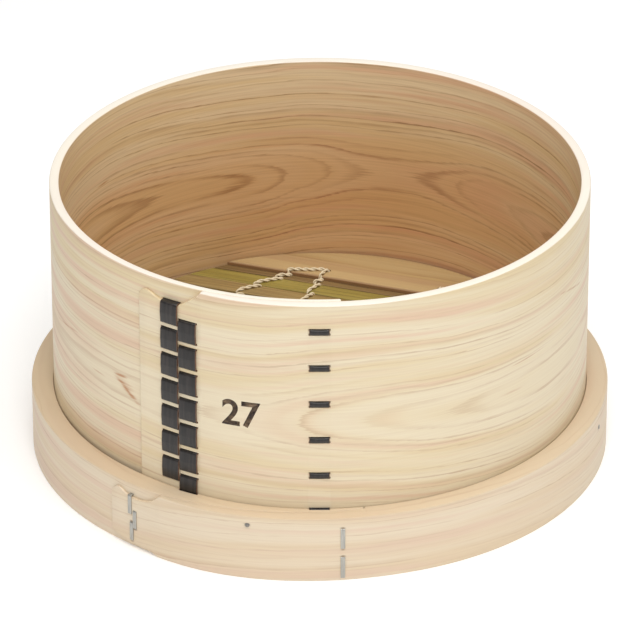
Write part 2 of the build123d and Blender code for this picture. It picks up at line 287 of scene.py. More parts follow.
def smooth_through(points, x):
    """Height of a smooth line through the points, at x."""
    i = max(k for k in range(len(points) - 1) if k == 0 or points[k][0] <= x)
    slopes = []
    for k in (i, i + 1):
        before, after = points[max(k - 1, 0)], points[min(k + 1, len(points) - 1)]
        slopes.append((after[1] - before[1]) / (after[0] - before[0]))
    (x0, z0), (x1, z1) = points[i], points[i + 1]
    t, span = (x - x0) / (x1 - x0), x1 - x0
    return ((2 * t**3 - 3 * t**2 + 1) * z0 + (t**3 - 2 * t**2 + t) * span * slopes[0]
            + (3 * t**2 - 2 * t**3) * z1 + (t**3 - t**2) * span * slopes[1])


def drum_outer(angle):
    lap = (LAP_SWELL * ramp(angle, LAP_END, SWELL_AT)
           - SEEN_END_PLANED * ramp(angle, SWELL_AT, OUTER_END))
    return DRUM_RADIUS + (lap - HIDDEN_END_SINKS * share(angle, UNDERLAP_START, INNER_END)) * MM


def drum_inner(angle):
    lap = (SEEN_END_INSIDE * share(angle, INNER_END - 360, OUTER_END)
           - HIDDEN_END_INSIDE * share(angle, UNDERLAP_START, INNER_END))
    return DRUM_RADIUS - BOARD + lap * MM


def drum_top(angle):
    if angle > DRUM_CORNER[-1][0]:
        return RIM
    return min(RIM, smooth_through(DRUM_CORNER, angle) * MM)


print("drum wall at the back", round((drum_outer(180) - drum_inner(180)) / MM, 2), "mm")

# %% The rule of the base ring
RING_FIT = 0.2 * MM
RING_OUTER_END, RING_INNER_END, RING_UNDERLAP_START = -44.5, 369.0, 327.0
RING_TIP = RING_INNER_END - 360
# in millimetres: the round part's radius, its bulge at both sides, and its shift towards -X
RING_RADIUS, RING_OVAL, RING_SHIFT = 144.8, 1.25, 0.15
# where the ring's lap swells and where it is thickest, in degrees, then the swelling, the planing
# of the seen end and the sinking of the hidden end, in millimetres
RING_LAP_END, RING_SWELL_AT = 20, -22
RING_LAP_SWELL, RING_END_PLANED, RING_END_SINKS = 3.3, 1.8, 7.62
# room over the ring's hidden end, then how far the inner face eases in towards the drum's thin
# end, and the angle where that starts
RING_LAP_ROOM, RING_SEAM_ROOM, RING_SEAM_START = 0.12 * MM, 0.8 * MM, -75
RING_CORNER_TOP = [(-45.4, 27.2), (-44.5, 28.4), (-42.8, 31.3), (-40.5, 28.9), (-37.8, 28.2),
                   (-34.6, 30.2), (-31.6, 36.5)]
RING_CORNER_FOOT = [(-45.4, 6.4), (-44.5, 5.6), (-41.0, 2.6), (-37.0, 2.0), (-34.2, 1.4),
                    (-32.0, -1.5)]


def ring_outer(angle):
    side = sin(radians(angle))
    round_part = RING_RADIUS + RING_OVAL * side ** 4 - RING_SHIFT * side
    lap = (RING_LAP_SWELL * ramp(angle, RING_LAP_END, RING_SWELL_AT)
           - RING_END_PLANED * ramp(angle, RING_SWELL_AT, RING_OUTER_END))
    sunk = RING_END_SINKS * share(angle, RING_UNDERLAP_START, RING_INNER_END)
    return (round_part + lap - sunk) * MM


def ring_inner(angle):
    if angle <= RING_TIP:
        return ring_outer(max(angle + 360, RING_UNDERLAP_START)) + RING_LAP_ROOM
    if angle > UNDERLAP_START:
        room = RING_SEAM_ROOM * (1 - ramp(angle - 360, RING_SEAM_START, OUTER_END))
        return drum_outer(max(angle - 360, OUTER_END)) + RING_FIT + room
    return drum_outer(angle) + RING_FIT


def ring_top(angle):
    if angle > RING_CORNER_TOP[-1][0]:
        return RING_TOP
    return min(RING_TOP, smooth_through(RING_CORNER_TOP, angle) * MM)


def ring_foot(angle):
    if angle > RING_CORNER_FOOT[-1][0]:
        return 0.0
    return max(0.0, smooth_through(RING_CORNER_FOOT, angle) * MM)


print("ring wall at the back", round((ring_outer(180) - ring_inner(180)) / MM, 2), "mm")

# %% [markdown]
# ## The wood of a bent board
# The real wood is Japanese cypress: pale, straight and fine. A flat-sawn board cuts the tree's
# growth rings at a low angle, so they show as nested flames where the cut comes near the heart
# and as close straight lines away from it. The pattern here does the same: each point's distance
# to the heart line is turned into a ring number. Each ring darkens slowly and ends sharply, which
# is how summer wood looks. Broad straw and rosy bands and fine streaks lie over the rings. The
# board carries its own map, so the figure follows the bend.

# %% Growth rings
# width of a ring, how far the heart line wanders and how ragged a ring is, in millimetres
GROWTH_RING = 2.7
WANDER = 6.0
RAGGED = 1.3
LINE_STRENGTH = 0.55
STREAK_STRENGTH = 0.13


def fibres(t, along, height, length, width):
    """Fine streaks along the grain, from 0 to 1: length and width of one streak in millimetres."""
    stretched = add(t, "ShaderNodeCombineXYZ", {
        "X": add(t, "ShaderNodeMath", {0: along, 1: 1 / length}, operation="MULTIPLY"),
        "Y": add(t, "ShaderNodeMath", {0: height, 1: 1 / width}, operation="MULTIPLY")})
    return add(t, "ShaderNodeTexNoise", {"Vector": stretched, "Scale": 1.0, "Detail": 3.0})


def growth(t, along, height, depth, heart_height, heart_depth):
    """How far a place on a board has grown out from the heart line, in millimetres."""
    wander = fibres(t, along, height, 120.0, 60.0)
    ragged = fibres(t, along, height, 16.0, 0.8)
    rise = add(t, "ShaderNodeMath", {0: height, 1: heart_height}, operation="SUBTRACT")
    rise = add(t, "ShaderNodeMath", {0: wander, 1: WANDER, 2: rise}, operation="MULTIPLY_ADD")
    rise = add(t, "ShaderNodeMath", {0: rise, 1: -WANDER / 2}, operation="ADD")
    below = add(t, "ShaderNodeMath", {0: heart_depth, 1: depth}, operation="ADD")
    rise = add(t, "ShaderNodeMath", {0: rise, 1: rise}, operation="MULTIPLY")
    reach = add(t, "ShaderNodeMath", {0: below, 1: below, 2: rise}, operation="MULTIPLY_ADD")
    reach = add(t, "ShaderNodeMath", {0: reach}, operation="SQRT")
    return add(t, "ShaderNodeMath", {0: ragged, 1: RAGGED, 2: reach}, operation="MULTIPLY_ADD")


def cypress(t, reach, along, height, colours):
    """Colour and line darkness of planed cypress, from its growth."""
    cream, straw, blush, summer = (linear(c) for c in colours)
    uneven = add(t, "ShaderNodeTexNoise", {"W": reach, "Scale": 0.45 / GROWTH_RING, "Detail": 1.0},
                 noise_dimensions="1D")
    rings = add(t, "ShaderNodeMath", {0: reach, 1: 1 / GROWTH_RING}, operation="MULTIPLY")
    rings = add(t, "ShaderNodeMath", {0: uneven, 1: 2.4, 2: rings}, operation="MULTIPLY_ADD")
    phase = add(t, "ShaderNodeMath", {0: rings}, operation="FRACT")
    whole = add(t, "ShaderNodeMath", {0: rings}, operation="FLOOR")
    rise = add(t, "ShaderNodeMapRange", {"Value": phase, "From Min": 0.50, "From Max": 0.90},
               interpolation_type="SMOOTHSTEP")
    fall = add(t, "ShaderNodeMapRange", {"Value": phase, "From Min": 1.0, "From Max": 0.90})
    chance = add(t, "ShaderNodeTexWhiteNoise", {"W": whole}, noise_dimensions="1D").outputs["Value"]
    own = add(t, "ShaderNodeMapRange", {"Value": chance, "From Min": 0.1, "To Min": 0.12})
    lane = add(t, "ShaderNodeMath", {0: whole, 1: 7.3}, operation="MULTIPLY")
    fade = fibres(t, along, lane, 55.0, 1.0)
    fade = add(t, "ShaderNodeMapRange", {"Value": fade, "From Min": 0.32, "From Max": 0.62})
    dark = rise
    for part in (fall, own, fade, LINE_STRENGTH):
        dark = add(t, "ShaderNodeMath", {0: dark, 1: part}, operation="MULTIPLY")
    colour = cream
    # tint, a shift that keeps the bands apart, length and width of a band, where it fades in
    for tint, apart, length, width, low, high in ((straw, 0.0, 260.0, 9.0, 0.42, 0.62),
                                                  (blush, 310.0, 200.0, 6.0, 0.46, 0.70)):
        later = add(t, "ShaderNodeMath", {0: reach, 1: apart}, operation="ADD")
        streaks = fibres(t, along, later, length, width)
        streaks = add(t, "ShaderNodeMapRange", {"Value": streaks, "From Min": low,
                                                "From Max": high}, interpolation_type="SMOOTHSTEP")
        colour = add(t, "ShaderNodeMix", {"Factor": streaks, "A": colour, "B": tint},
                     data_type="RGBA")
    streak = fibres(t, along, height, 60.0, 0.9)
    streak = add(t, "ShaderNodeMapRange", {"Value": streak, "From Min": 0.38, "From Max": 0.78})
    dark = add(t, "ShaderNodeMath", {0: streak, 1: STREAK_STRENGTH, 2: dark},
               operation="MULTIPLY_ADD")
    colour = add(t, "ShaderNodeMix", {"Factor": dark, "A": colour, "B": summer}, data_type="RGBA")
    return colour, dark


def new_finish(name, roughness, **constants):
    """A material with its constants on the shader's own sockets."""
    material = bpy.data.materials.new(name)
    material.use_nodes = True
    t = material.node_tree
    shader = t.nodes["Principled BSDF"]
    shader.inputs["Roughness"].default_value = roughness
    for socket, value in constants.items():
        shader.inputs[socket.replace("_", " ")].default_value = value
    return material, t, shader


def lay_on(t, shader, colour, relief, strength, depth):
    """Give a finish its colour and its fine relief."""
    t.links.new(colour.outputs[2], shader.inputs["Base Color"])
    bump = add(t, "ShaderNodeBump", {"Height": relief, "Strength": strength, "Distance": depth})
    t.links.new(bump.outputs["Normal"], shader.inputs["Normal"])


print("one growth ring is about", GROWTH_RING, "mm wide, and no two are alike")

# %% [markdown]
# The drum's board has two flames that point at each other on the inside of the back, and one on
# the outside of the front. The heart line is far below the face where a flame comes to its tip,
# and close to it where the flame opens. Pitch streaks are places where resin stained the grain.
# The inside carries deeper tones, which grow downwards and are weaker at its two sides. They
# stand partly for warmer wood and partly for shade that these broad soft lights leave too pale.

# %% Planed cypress on the drum and on the ring
DRUM_COLOURS = ("#EADCBF", "#E4D1AA", "#E3C5A9", "#B2875F")
# angle along the board, height of the heart line, how far it lies below the face, in millimetres
DRUM_HEART = [(-41, 82, 27), (-14, 82, 23), (5, 84, 18), (30, 80, 15), (60, 77, 13),
              (100, 82, 17), (135, 84, 23), (165, 84, 28), (183, 83, 24), (195, 80, 20),
              (224, 83, 17), (255, 84, 13), (300, 80, 12), (364.5, 84, 14)]
# angle, height, half length and half height in millimetres, strength and slope of the stain
DRUM_STAINS = [(315, 77.2, 11, 2.2, 0.85, -0.64), (313, 84.2, 8, 1.3, 0.7, 0.2),
               (314, 80, 10, 5.0, 0.4, -0.4), (290.6, 89, 20, 0.8, 0.6, 0.18),
               (305.6, 78.6, 8, 0.6, 0.45, 0.0), (49, 93, 17, 0.6, 0.5, 0.04),
               (45, 78.6, 12, 1.0, 0.3, 0.0), (68, 111.5, 22, 0.8, 0.5, -0.25),
               (238, 108, 9, 0.8, 0.8, 0.0)]
HEART_SCALE = 120.0
MARK_RAGGED, MARK_RIM, MARK_CORE = 1.6, 1.75, 0.7


def stained(t, colour, stains_and_dent_shade, tint, along, height, spread, grain):
    """Small long marks laid over a board's colour: pitch stains on the drum, and painted shade in the dents round the
    ring's staples and nails.
    """
    for angle, z, length, rise, strength, slope in stains_and_dent_shade:
        across = add(t, "ShaderNodeMath", {0: along, 1: -angle * spread}, operation="ADD")
        up = add(t, "ShaderNodeMath", {0: height, 1: -z}, operation="ADD")
        up = add(t, "ShaderNodeMath", {0: across, 1: -slope, 2: up}, operation="MULTIPLY_ADD")
        offset = add(t, "ShaderNodeCombineXYZ", {
            "X": add(t, "ShaderNodeMath", {0: across, 1: length}, operation="DIVIDE"),
            "Y": add(t, "ShaderNodeMath", {0: up, 1: rise}, operation="DIVIDE")})
        far = add(t, "ShaderNodeVectorMath", {0: offset}, operation="LENGTH").outputs["Value"]
        far = add(t, "ShaderNodeMath", {0: grain, 1: MARK_RAGGED, 2: far},
                  operation="MULTIPLY_ADD")
        stain_and_shade = add(t, "ShaderNodeMapRange", {"Value": far, "From Min": MARK_RIM,
                                              "From Max": MARK_CORE, "To Max": strength},
                    interpolation_type="SMOOTHSTEP")
        colour = add(t, "ShaderNodeMix", {"Factor": stain_and_shade, "A": colour, "B": linear(tint)},
                     data_type="RGBA")
    return colour


# The inside of the drum is deeper in tone than the outside: a warm wash that is partly the wood and partly painted
# shade, and painted shade that grows downwards and is weaker at the two sides. Depths, heights and widths of the tones
# are in millimetres, apart from the distance to each side, which is in metres.
INSIDE_STARTS, INSIDE_FULL = -3.0, -4.0
INSIDE_WARMTH_AND_SHADE, WARMTH_AND_SHADE_SHARE = "#FFE9CA", 0.6
INSIDE_LINES, LINES_SHARE = "#7E5836", 0.85
ROSY_BAND, ROSY_SHARE, ROSY_HEIGHT, ROSY_FADE, ROSY_CORE = "#F8CCAC", 0.28, 80.0, 36.0, 10.0
LOW_SHADE_TOP, LOW_SHADE_FOOT, LOW_SHADE_SHARE = 145.0, 40.0, 0.5
SHADE_SIDE_FROM, SHADE_SIDE_TO, SHADE_SIDE_SHARE = 0.04, 0.13, 0.1


def deepen(t, colour, dark, depth, height, sideways, low_shade_tint):
    """The inside's tones: a wash that is partly warmer wood and partly painted shade, darker lines, a rosy band and
    painted shade that grows downwards.
    """
    within = add(t, "ShaderNodeMapRange", {"Value": depth, "From Min": INSIDE_STARTS,
                                           "From Max": INSIDE_FULL})
    # painted shade inside the drum, growing downwards and weaker at its two sides
    low = add(t, "ShaderNodeMapRange", {"Value": height, "From Min": LOW_SHADE_TOP,
                                        "From Max": LOW_SHADE_FOOT, "To Max": LOW_SHADE_SHARE})
    aside = add(t, "ShaderNodeMath", {0: sideways}, operation="ABSOLUTE")
    aside = add(t, "ShaderNodeMapRange", {"Value": aside, "From Min": SHADE_SIDE_FROM,
                                          "From Max": SHADE_SIDE_TO, "To Min": 1.0, "To Max": SHADE_SIDE_SHARE})
    band = add(t, "ShaderNodeMath", {0: height, 1: -ROSY_HEIGHT}, operation="ADD")
    band = add(t, "ShaderNodeMath", {0: band}, operation="ABSOLUTE")
    band = add(t, "ShaderNodeMapRange", {"Value": band, "From Min": ROSY_FADE,
                                         "From Max": ROSY_CORE, "To Max": ROSY_SHARE},
               interpolation_type="SMOOTHSTEP")
    for tint, blend, parts in ((INSIDE_WARMTH_AND_SHADE, "MULTIPLY", (WARMTH_AND_SHADE_SHARE,)),
                               (INSIDE_LINES, "MIX", (dark, LINES_SHARE)),
                               (ROSY_BAND, "MULTIPLY", (band,)),
                               (low_shade_tint, "MULTIPLY", (low, aside))):
        laid = within
        for part in parts:
            laid = add(t, "ShaderNodeMath", {0: laid, 1: part}, operation="MULTIPLY")
        colour = add(t, "ShaderNodeMix", {"Factor": laid, "A": colour, "B": linear(tint)},
                     data_type="RGBA", blend_type=blend)
    return colour


def bent_cypress(name, colours, radius, heart, stains_and_dent_shade, tint, top, top_tone_and_light, top_tone_and_light_share,
                 inside_shade_tint=None):
    material, t, shader = new_finish(name, 0.5)
    flat = add(t, "ShaderNodeUVMap", uv_map="board")
    flat = add(t, "ShaderNodeSeparateXYZ", {0: flat})
    along = add(t, "ShaderNodeMath", {0: flat.outputs["X"], 1: 1 / MM}, operation="MULTIPLY")
    height = add(t, "ShaderNodeMath", {0: flat.outputs["Y"], 1: 1 / MM}, operation="MULTIPLY")
    place = add(t, "ShaderNodeSeparateXYZ", {0: add(t, "ShaderNodeTexCoord").outputs["Object"]})
    level = add(t, "ShaderNodeCombineXYZ", {"X": place.outputs["X"], "Y": place.outputs["Y"]})
    depth = add(t, "ShaderNodeVectorMath", {0: level}, operation="LENGTH").outputs["Value"]
    depth = add(t, "ShaderNodeMath", {0: depth, 1: 1 / MM, 2: -radius / MM},
                operation="MULTIPLY_ADD")
    first, last = heart[0][0], heart[-1][0]
    spread = radius * radians(1) / MM
    run = add(t, "ShaderNodeMapRange", {"Value": along, "From Min": first * spread,
                                        "From Max": last * spread})
    heights = []
    for column in (1, 2):
        line = add(t, "ShaderNodeFloatCurve", {"Value": run})
        points = line.mapping.curves[0].points
        for _ in heart[2:]:
            points.new(0.5, 0.5)
        for point, row in zip(points, heart):
            point.location = ((row[0] - first) / (last - first), row[column] / HEART_SCALE)
        line.mapping.update()
        heights.append(add(t, "ShaderNodeMath", {0: line, 1: HEART_SCALE}, operation="MULTIPLY"))
    reach = growth(t, along, height, depth, *heights)
    colour, dark = cypress(t, reach, along, height, colours)
    grain = fibres(t, along, height, 14.0, 1.1)
    colour = stained(t, colour, stains_and_dent_shade, tint, along, height, spread, grain)
    if inside_shade_tint:
        colour = deepen(t, colour, dark, depth, height, place.outputs["X"], inside_shade_tint)
    # The top face gets a tone of its own that is partly painted light: the drum's rim is whitened, partly its own pale
    # planed edge and partly painted light from above, and the ring's ledge takes a tan set paler with painted light,
    # to make up for the light that the drum keeps off it.
    edge = add(t, "ShaderNodeMapRange", {"Value": height, "From Min": top - 0.6,
                                         "From Max": top - 0.1, "To Max": top_tone_and_light_share})
    colour = add(t, "ShaderNodeMix", {"Factor": edge, "A": colour, "B": linear(top_tone_and_light)},
                 data_type="RGBA")
    relief = add(t, "ShaderNodeMath", {0: grain, 1: 0.5, 2: dark}, operation="MULTIPLY_ADD")
    lay_on(t, shader, colour, relief, 0.2, 0.1 * MM)
    return material


RING_COLOURS = ("#E6D6BD", "#E2CEB0", "#E1C8B0", "#B8936F")
RING_HEART = [(-44.5, 60, 20), (20, 70, 16), (90, 60, 18), (180, 66, 14), (270, 72, 18),
              (369, 64, 16)]
RING_FLAT_RADIUS = 0.140
# dents where the staples and the nails enter, darkened with painted shade: angle and height
STAPLE_DENTS = [(-39.5, 30.3), (-38.3, 10.9), (-39.1, 3.6), (-39.1, 15.0), (4.4, 29.7),
                (4.4, 17.3), (4.4, 13.8)]
NAIL_DENTS = [(-13.9, 29.9), (74.0, 26.0), (166.0, 28.5), (256.0, 27.5)]
# the dents' darkness is painted shade, laid on the ring's wood in the same way as the drum's pitch stains
RING_DENT_SHADE = [(a, z, 1.9, 0.8, 0.75, 0.0) for a, z in STAPLE_DENTS]
RING_DENT_SHADE += [(a, z, 2.6, 2.1, 0.45, 0.0) for a, z in NAIL_DENTS]
# the drum's last colour is the painted shade inside it
drum_cypress = bent_cypress("drum_cypress_planed", DRUM_COLOURS, DRUM_RADIUS, DRUM_HEART,
                            DRUM_STAINS, "#B4713A", RIM / MM, "#F7F0E4", 0.8, "#D2A874")
# in both calls, the colour after the top height is the top face's tone, partly painted light
ring_cypress = bent_cypress("ring_cypress_planed", RING_COLOURS, RING_FLAT_RADIUS, RING_HEART,
                            RING_DENT_SHADE, "#6E5640", RING_TOP / MM, "#DCC4A2", 0.6)
print("nodes in the drum's wood", len(drum_cypress.node_tree.nodes))

# %% [markdown]
# ## Sweeping a wound board
# A lofted cylinder would lose the lap. Here a chain of points, one a degree, carries the rule's
# four numbers, and a Geometry Nodes tree sweeps a rectangle along it and moves each corner to its
# radius and height. The same tree makes the drum and the ring. It also stores the flat map of
# the board: distance along it and height.

# %% A plain mesh from a Geometry Nodes tree
def new_tree(name, **sockets):
    tree = bpy.data.node_groups.new(name, "GeometryNodeTree")
    tree.interface.new_socket("Geometry", in_out="OUTPUT", socket_type="NodeSocketGeometry")
    tree.interface.new_socket("Geometry", in_out="INPUT", socket_type="NodeSocketGeometry")
    for socket, kind in {**sockets, "Material": "Material"}.items():
        tree.interface.new_socket(socket, in_out="INPUT", socket_type="NodeSocket" + kind)
    return tree, add(tree, "NodeGroupInput").outputs


def close_tree(tree, given, geometry):
    whole = add(tree, "GeometryNodeRealizeInstances", {"Geometry": geometry})
    painted = add(tree, "GeometryNodeSetMaterial", {"Geometry": whole,
                                                    "Material": given["Material"]})
    add(tree, "NodeGroupOutput", {"Geometry": painted})


def new_piece(name, mesh):
    piece = bpy.data.objects.new(name, mesh)
    scene.collection.objects.link(piece)
    return piece


def chain(name, paths, **values):
    """A mesh of open chains, with one number for each point, or for each path, under each name."""
    mesh = bpy.data.meshes.new(name)
    points, edges, owners = [], [], []
    for number, path in enumerate(paths):
        edges += [(len(points) + i, len(points) + i + 1) for i in range(len(path) - 1)]
        points += path
        owners += [number] * len(path)
    mesh.from_pydata(points, edges, [])
    for key, numbers in values.items():
        if len(numbers) == len(paths):
            numbers = [numbers[i] for i in owners]
        mesh.attributes.new(key, "FLOAT", "POINT").data.foreach_set("value", numbers)
    return mesh


def plain_mesh(piece):
    """The piece with its modifiers worked in, as a mesh of its own."""
    bpy.context.view_layer.update()
    depsgraph = bpy.context.evaluated_depsgraph_get()
    mesh = bpy.data.meshes.new_from_object(piece.evaluated_get(depsgraph))
    piece.modifiers.clear()
    piece.data = mesh
    mesh.name = piece.name


def face_outwards(mesh, merge=0.0):
    """Turn every face outwards, once points closer than the merge distance are one."""
    work = bmesh.new()
    work.from_mesh(mesh)
    if merge:
        bmesh.ops.remove_doubles(work, verts=work.verts, dist=merge)
    bmesh.ops.recalc_face_normals(work, faces=work.faces)
    work.to_mesh(mesh)
    work.free()


def shade_smooth(mesh, sharp=None):
    """Shade a mesh smooth, but keep edges sharper than an angle in degrees."""
    for polygon in mesh.polygons:
        polygon.use_smooth = True
    if sharp:
        mesh.set_sharp_from_angle(angle=radians(sharp))


def grow(name, base, tree, **values):
    piece = new_piece(name, base)
    modifier = piece.modifiers.new("grow", "NODES")
    modifier.node_group = tree
    for item in tree.interface.items_tree:
        if item.in_out == "INPUT" and item.name in values:
            modifier[item.identifier] = values[item.name]
    plain_mesh(piece)
    print(name, len(piece.data.polygons), "faces")
    return piece


# %% The wound board tree
def wound_board_tree():
    t, given = new_tree("wound_board", Radius="Float")
    rule = {key: add(t, "GeometryNodeInputNamedAttribute", {"Name": key}, data_type="FLOAT")
            for key in ("turn", "outer", "inner", "foot", "top")}
    rail = add(t, "GeometryNodeMeshToCurve", {"Mesh": given["Geometry"]})
    section = add(t, "GeometryNodeCurvePrimitiveQuadrilateral", {"Width": 2 * MM, "Height": 2 * MM})
    section = add(t, "GeometryNodeStoreNamedAttribute", {
        "Geometry": section, "Name": "corner", "Value": add(t, "GeometryNodeInputPosition")},
        data_type="FLOAT_VECTOR", domain="POINT")
    swept = add(t, "GeometryNodeCurveToMesh", {"Curve": rail, "Profile Curve": section,
                                               "Fill Caps": True})
    corner = add(t, "GeometryNodeInputNamedAttribute", {"Name": "corner"}, data_type="FLOAT_VECTOR")
    corner = add(t, "ShaderNodeSeparateXYZ", {0: corner})
    out = add(t, "ShaderNodeMath", {0: corner.outputs["X"], 1: 0.0}, operation="GREATER_THAN")
    up = add(t, "ShaderNodeMath", {0: corner.outputs["Y"], 1: 0.0}, operation="GREATER_THAN")
    radius = add(t, "ShaderNodeMix", {"Factor": out, "A": rule["inner"], "B": rule["outer"]})
    height = add(t, "ShaderNodeMix", {"Factor": up, "A": rule["foot"], "B": rule["top"]})
    sine = add(t, "ShaderNodeMath", {0: rule["turn"]}, operation="SINE")
    cosine = add(t, "ShaderNodeMath", {0: rule["turn"]}, operation="COSINE")
    x = add(t, "ShaderNodeMath", {0: radius, 1: sine}, operation="MULTIPLY")
    y = add(t, "ShaderNodeMath", {0: radius, 1: cosine}, operation="MULTIPLY")
    y = add(t, "ShaderNodeMath", {0: y, 1: -1.0}, operation="MULTIPLY")
    place = add(t, "ShaderNodeCombineXYZ", {"X": x, "Y": y, "Z": height})
    bent = add(t, "GeometryNodeSetPosition", {"Geometry": swept, "Position": place})
    along = add(t, "ShaderNodeMath", {0: rule["turn"], 1: given["Radius"]}, operation="MULTIPLY")
    flat = add(t, "ShaderNodeCombineXYZ", {"X": along, "Y": height})
    mapped = add(t, "GeometryNodeStoreNamedAttribute", {
        "Geometry": bent, "Name": "board", "Value": flat}, data_type="FLOAT2", domain="CORNER")
    close_tree(t, given, mapped)
    return t


wound_board = wound_board_tree()
print("wound board tree has", len(wound_board.nodes), "nodes")

# %% [markdown]
# ## Slits, sockets and soft edges
# A plane leaves a hoop's edges crisp, and handling rounds them by a fraction of a millimetre, so
# a Bevel modifier breaks them. The slits for the bark, the pockets behind the ring for the
# strap ends and the socket in its foot are cut afterwards with one Boolean each, as on the bench.

# %% Where the straps run
STRAP = 0.8 * MM
STRAP_WIDTH = 9.8 * MM
STRAP_TAIL = 6.0 * MM
SLIT_HEIGHT = 1.2 * MM
SLIT_WIDTH = 10.6 * MM
# outside run, inside run, number of outside runs
STRAP_STEPS = {
    "seam_strap_left": (11.3 * MM, 3.1 * MM, 7),
    "seam_strap_right": (11.3 * MM, 3.1 * MM, 7),
    "inner_end_strap": (2.5 * MM, 17.36 * MM, 6),
}


def strap_angle(name):
    low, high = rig.box(name)
    return degrees(atan2(low.x + high.x, -low.y - high.y))


def strap_runs(name):
    """Top and foot of each run of a strap on the outside of the drum."""
    outside, inside, count = STRAP_STEPS[name]
    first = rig.box(name)[1].z - STRAP_TAIL
    tops = [first - i * (outside + inside) for i in range(count)]
    return [(top, top - outside) for top in tops]


for name in STRAP_STEPS:
    print(name, "at", round(strap_angle(name), 1), "degrees, top", round(strap_runs(name)[0][0], 4))

# %% Cutters
CUT = 6.0 * MM


def radial_box(work, angle, near, far, width, low, high):
    turn = Matrix.Rotation(radians(angle), 4, "Z")
    corners = [(x, -y, z) for x in (-width / 2, width / 2) for y in (near, far)
               for z in (low, high)]
    made = [work.verts.new(turn @ Vector(c)) for c in corners]
    for face in ((0, 1, 3, 2), (4, 6, 7, 5), (0, 4, 5, 1), (2, 3, 7, 6), (0, 2, 6, 4),
                 (1, 5, 7, 3)):
        work.faces.new([made[i] for i in face])


def cutter(name, draw):
    work = bmesh.new()
    draw(work)
    bmesh.ops.recalc_face_normals(work, faces=work.faces)
    mesh = bpy.data.meshes.new(name)
    work.to_mesh(mesh)
    work.free()
    return new_piece(name, mesh)


def draw_slits(work):
    for name in STRAP_STEPS:
        for z in [z for run in strap_runs(name) for z in run]:
            radial_box(work, strap_angle(name), DRUM_RADIUS - 2 * CUT, DRUM_RADIUS + CUT,
                       SLIT_WIDTH, z - SLIT_HEIGHT / 2, z + SLIT_HEIGHT / 2)


def draw_ring_pockets(work):
    for name in STRAP_STEPS:
        foot = strap_runs(name)[-1][1]
        angle = strap_angle(name)
        if foot < RING_TOP:
            radial_box(work, angle, DRUM_RADIUS - CUT, drum_outer(angle) + RING_FIT + 2 * STRAP,
                       SLIT_WIDTH, foot - MM, RING_TOP + CUT)


def draw_socket(work):
    middle = Matrix.Translation((0, 0, (DRUM_FOOT - CUT) / 2))
    bmesh.ops.create_cone(work, cap_ends=True, segments=360, radius1=SOCKET_RADIUS,
                          radius2=SOCKET_RADIUS, depth=DRUM_FOOT + CUT, matrix=middle)


def bent_board(name, angles, rule, radius, material, bevel, cutters):
    base = chain(name, [[(sin(radians(a)) * radius, -cos(radians(a)) * radius, 0) for a in angles]],
                 turn=[radians(a) for a in angles],
                 **{key: [f(a) for a in angles] for key, f in rule.items()})
    piece = grow(name, base, wound_board, Radius=radius, Material=material)
    face_outwards(piece.data, 1e-7)
    soft = piece.modifiers.new("broken edges", "BEVEL")
    soft.width = bevel
    soft.segments = 3
    soft.limit_method = "ANGLE"
    soft.angle_limit = radians(40)
    plain_mesh(piece)
    for draw in cutters:
        tool = cutter(name + "_" + draw.__name__, draw)
        cut = piece.modifiers.new("cut", "BOOLEAN")
        cut.object = tool
        cut.operation = "DIFFERENCE"
        cut.solver = "EXACT"
        plain_mesh(piece)
        bpy.data.objects.remove(tool)
    shade_smooth(piece.data, 30)
    print(name, "finished with", len(piece.data.polygons), "faces")
    return piece


# %% The drum and its ring
FINE, COARSE = 0.3, 1.0


def board_angles(start, fine_until, end, extra=()):
    fine = [start + FINE * i for i in range(int((fine_until - start) / FINE))]
    count = round((end - fine_until) / COARSE)
    coarse = [fine_until + (end - fine_until) * i / count for i in range(count + 1)]
    return sorted(set(fine + coarse + list(extra)))


drum = bent_board("drum", board_angles(OUTER_END, -24.5, INNER_END),
                  {"outer": drum_outer, "inner": drum_inner, "foot": lambda a: DRUM_FOOT,
                   "top": drum_top},
                  DRUM_RADIUS, drum_cypress, 0.7 * MM, [draw_slits])
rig.replaces(drum, "body_hoop")
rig.slot(drum, "drum_cypress")
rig.ride(drum, "basket")

ring = bent_board("ring", board_angles(RING_OUTER_END, -31.0, RING_INNER_END,
                                       (RING_TIP, RING_TIP + 0.3)),
                  {"outer": ring_outer, "inner": ring_inner, "foot": ring_foot, "top": ring_top},
                  RING_FLAT_RADIUS, ring_cypress, 0.5 * MM, [draw_socket, draw_ring_pockets])
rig.replaces(ring, "base_ring")
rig.slot(ring, "ring_cypress")
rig.ride(ring, "basket")

# %% [markdown]
# ## Bark straps and staples
# The seams are laced with strips of cherry bark, dark, tough and slightly glossy. A strip dives
# through a slit, runs down the inside and comes out again, so it is one flat band along a path.
# A staple is a flat wire along a shorter path. One tree sweeps both: it rounds the path's
# corners, sweeps a rounded rectangle, and turns each path to its own angle round the drum.

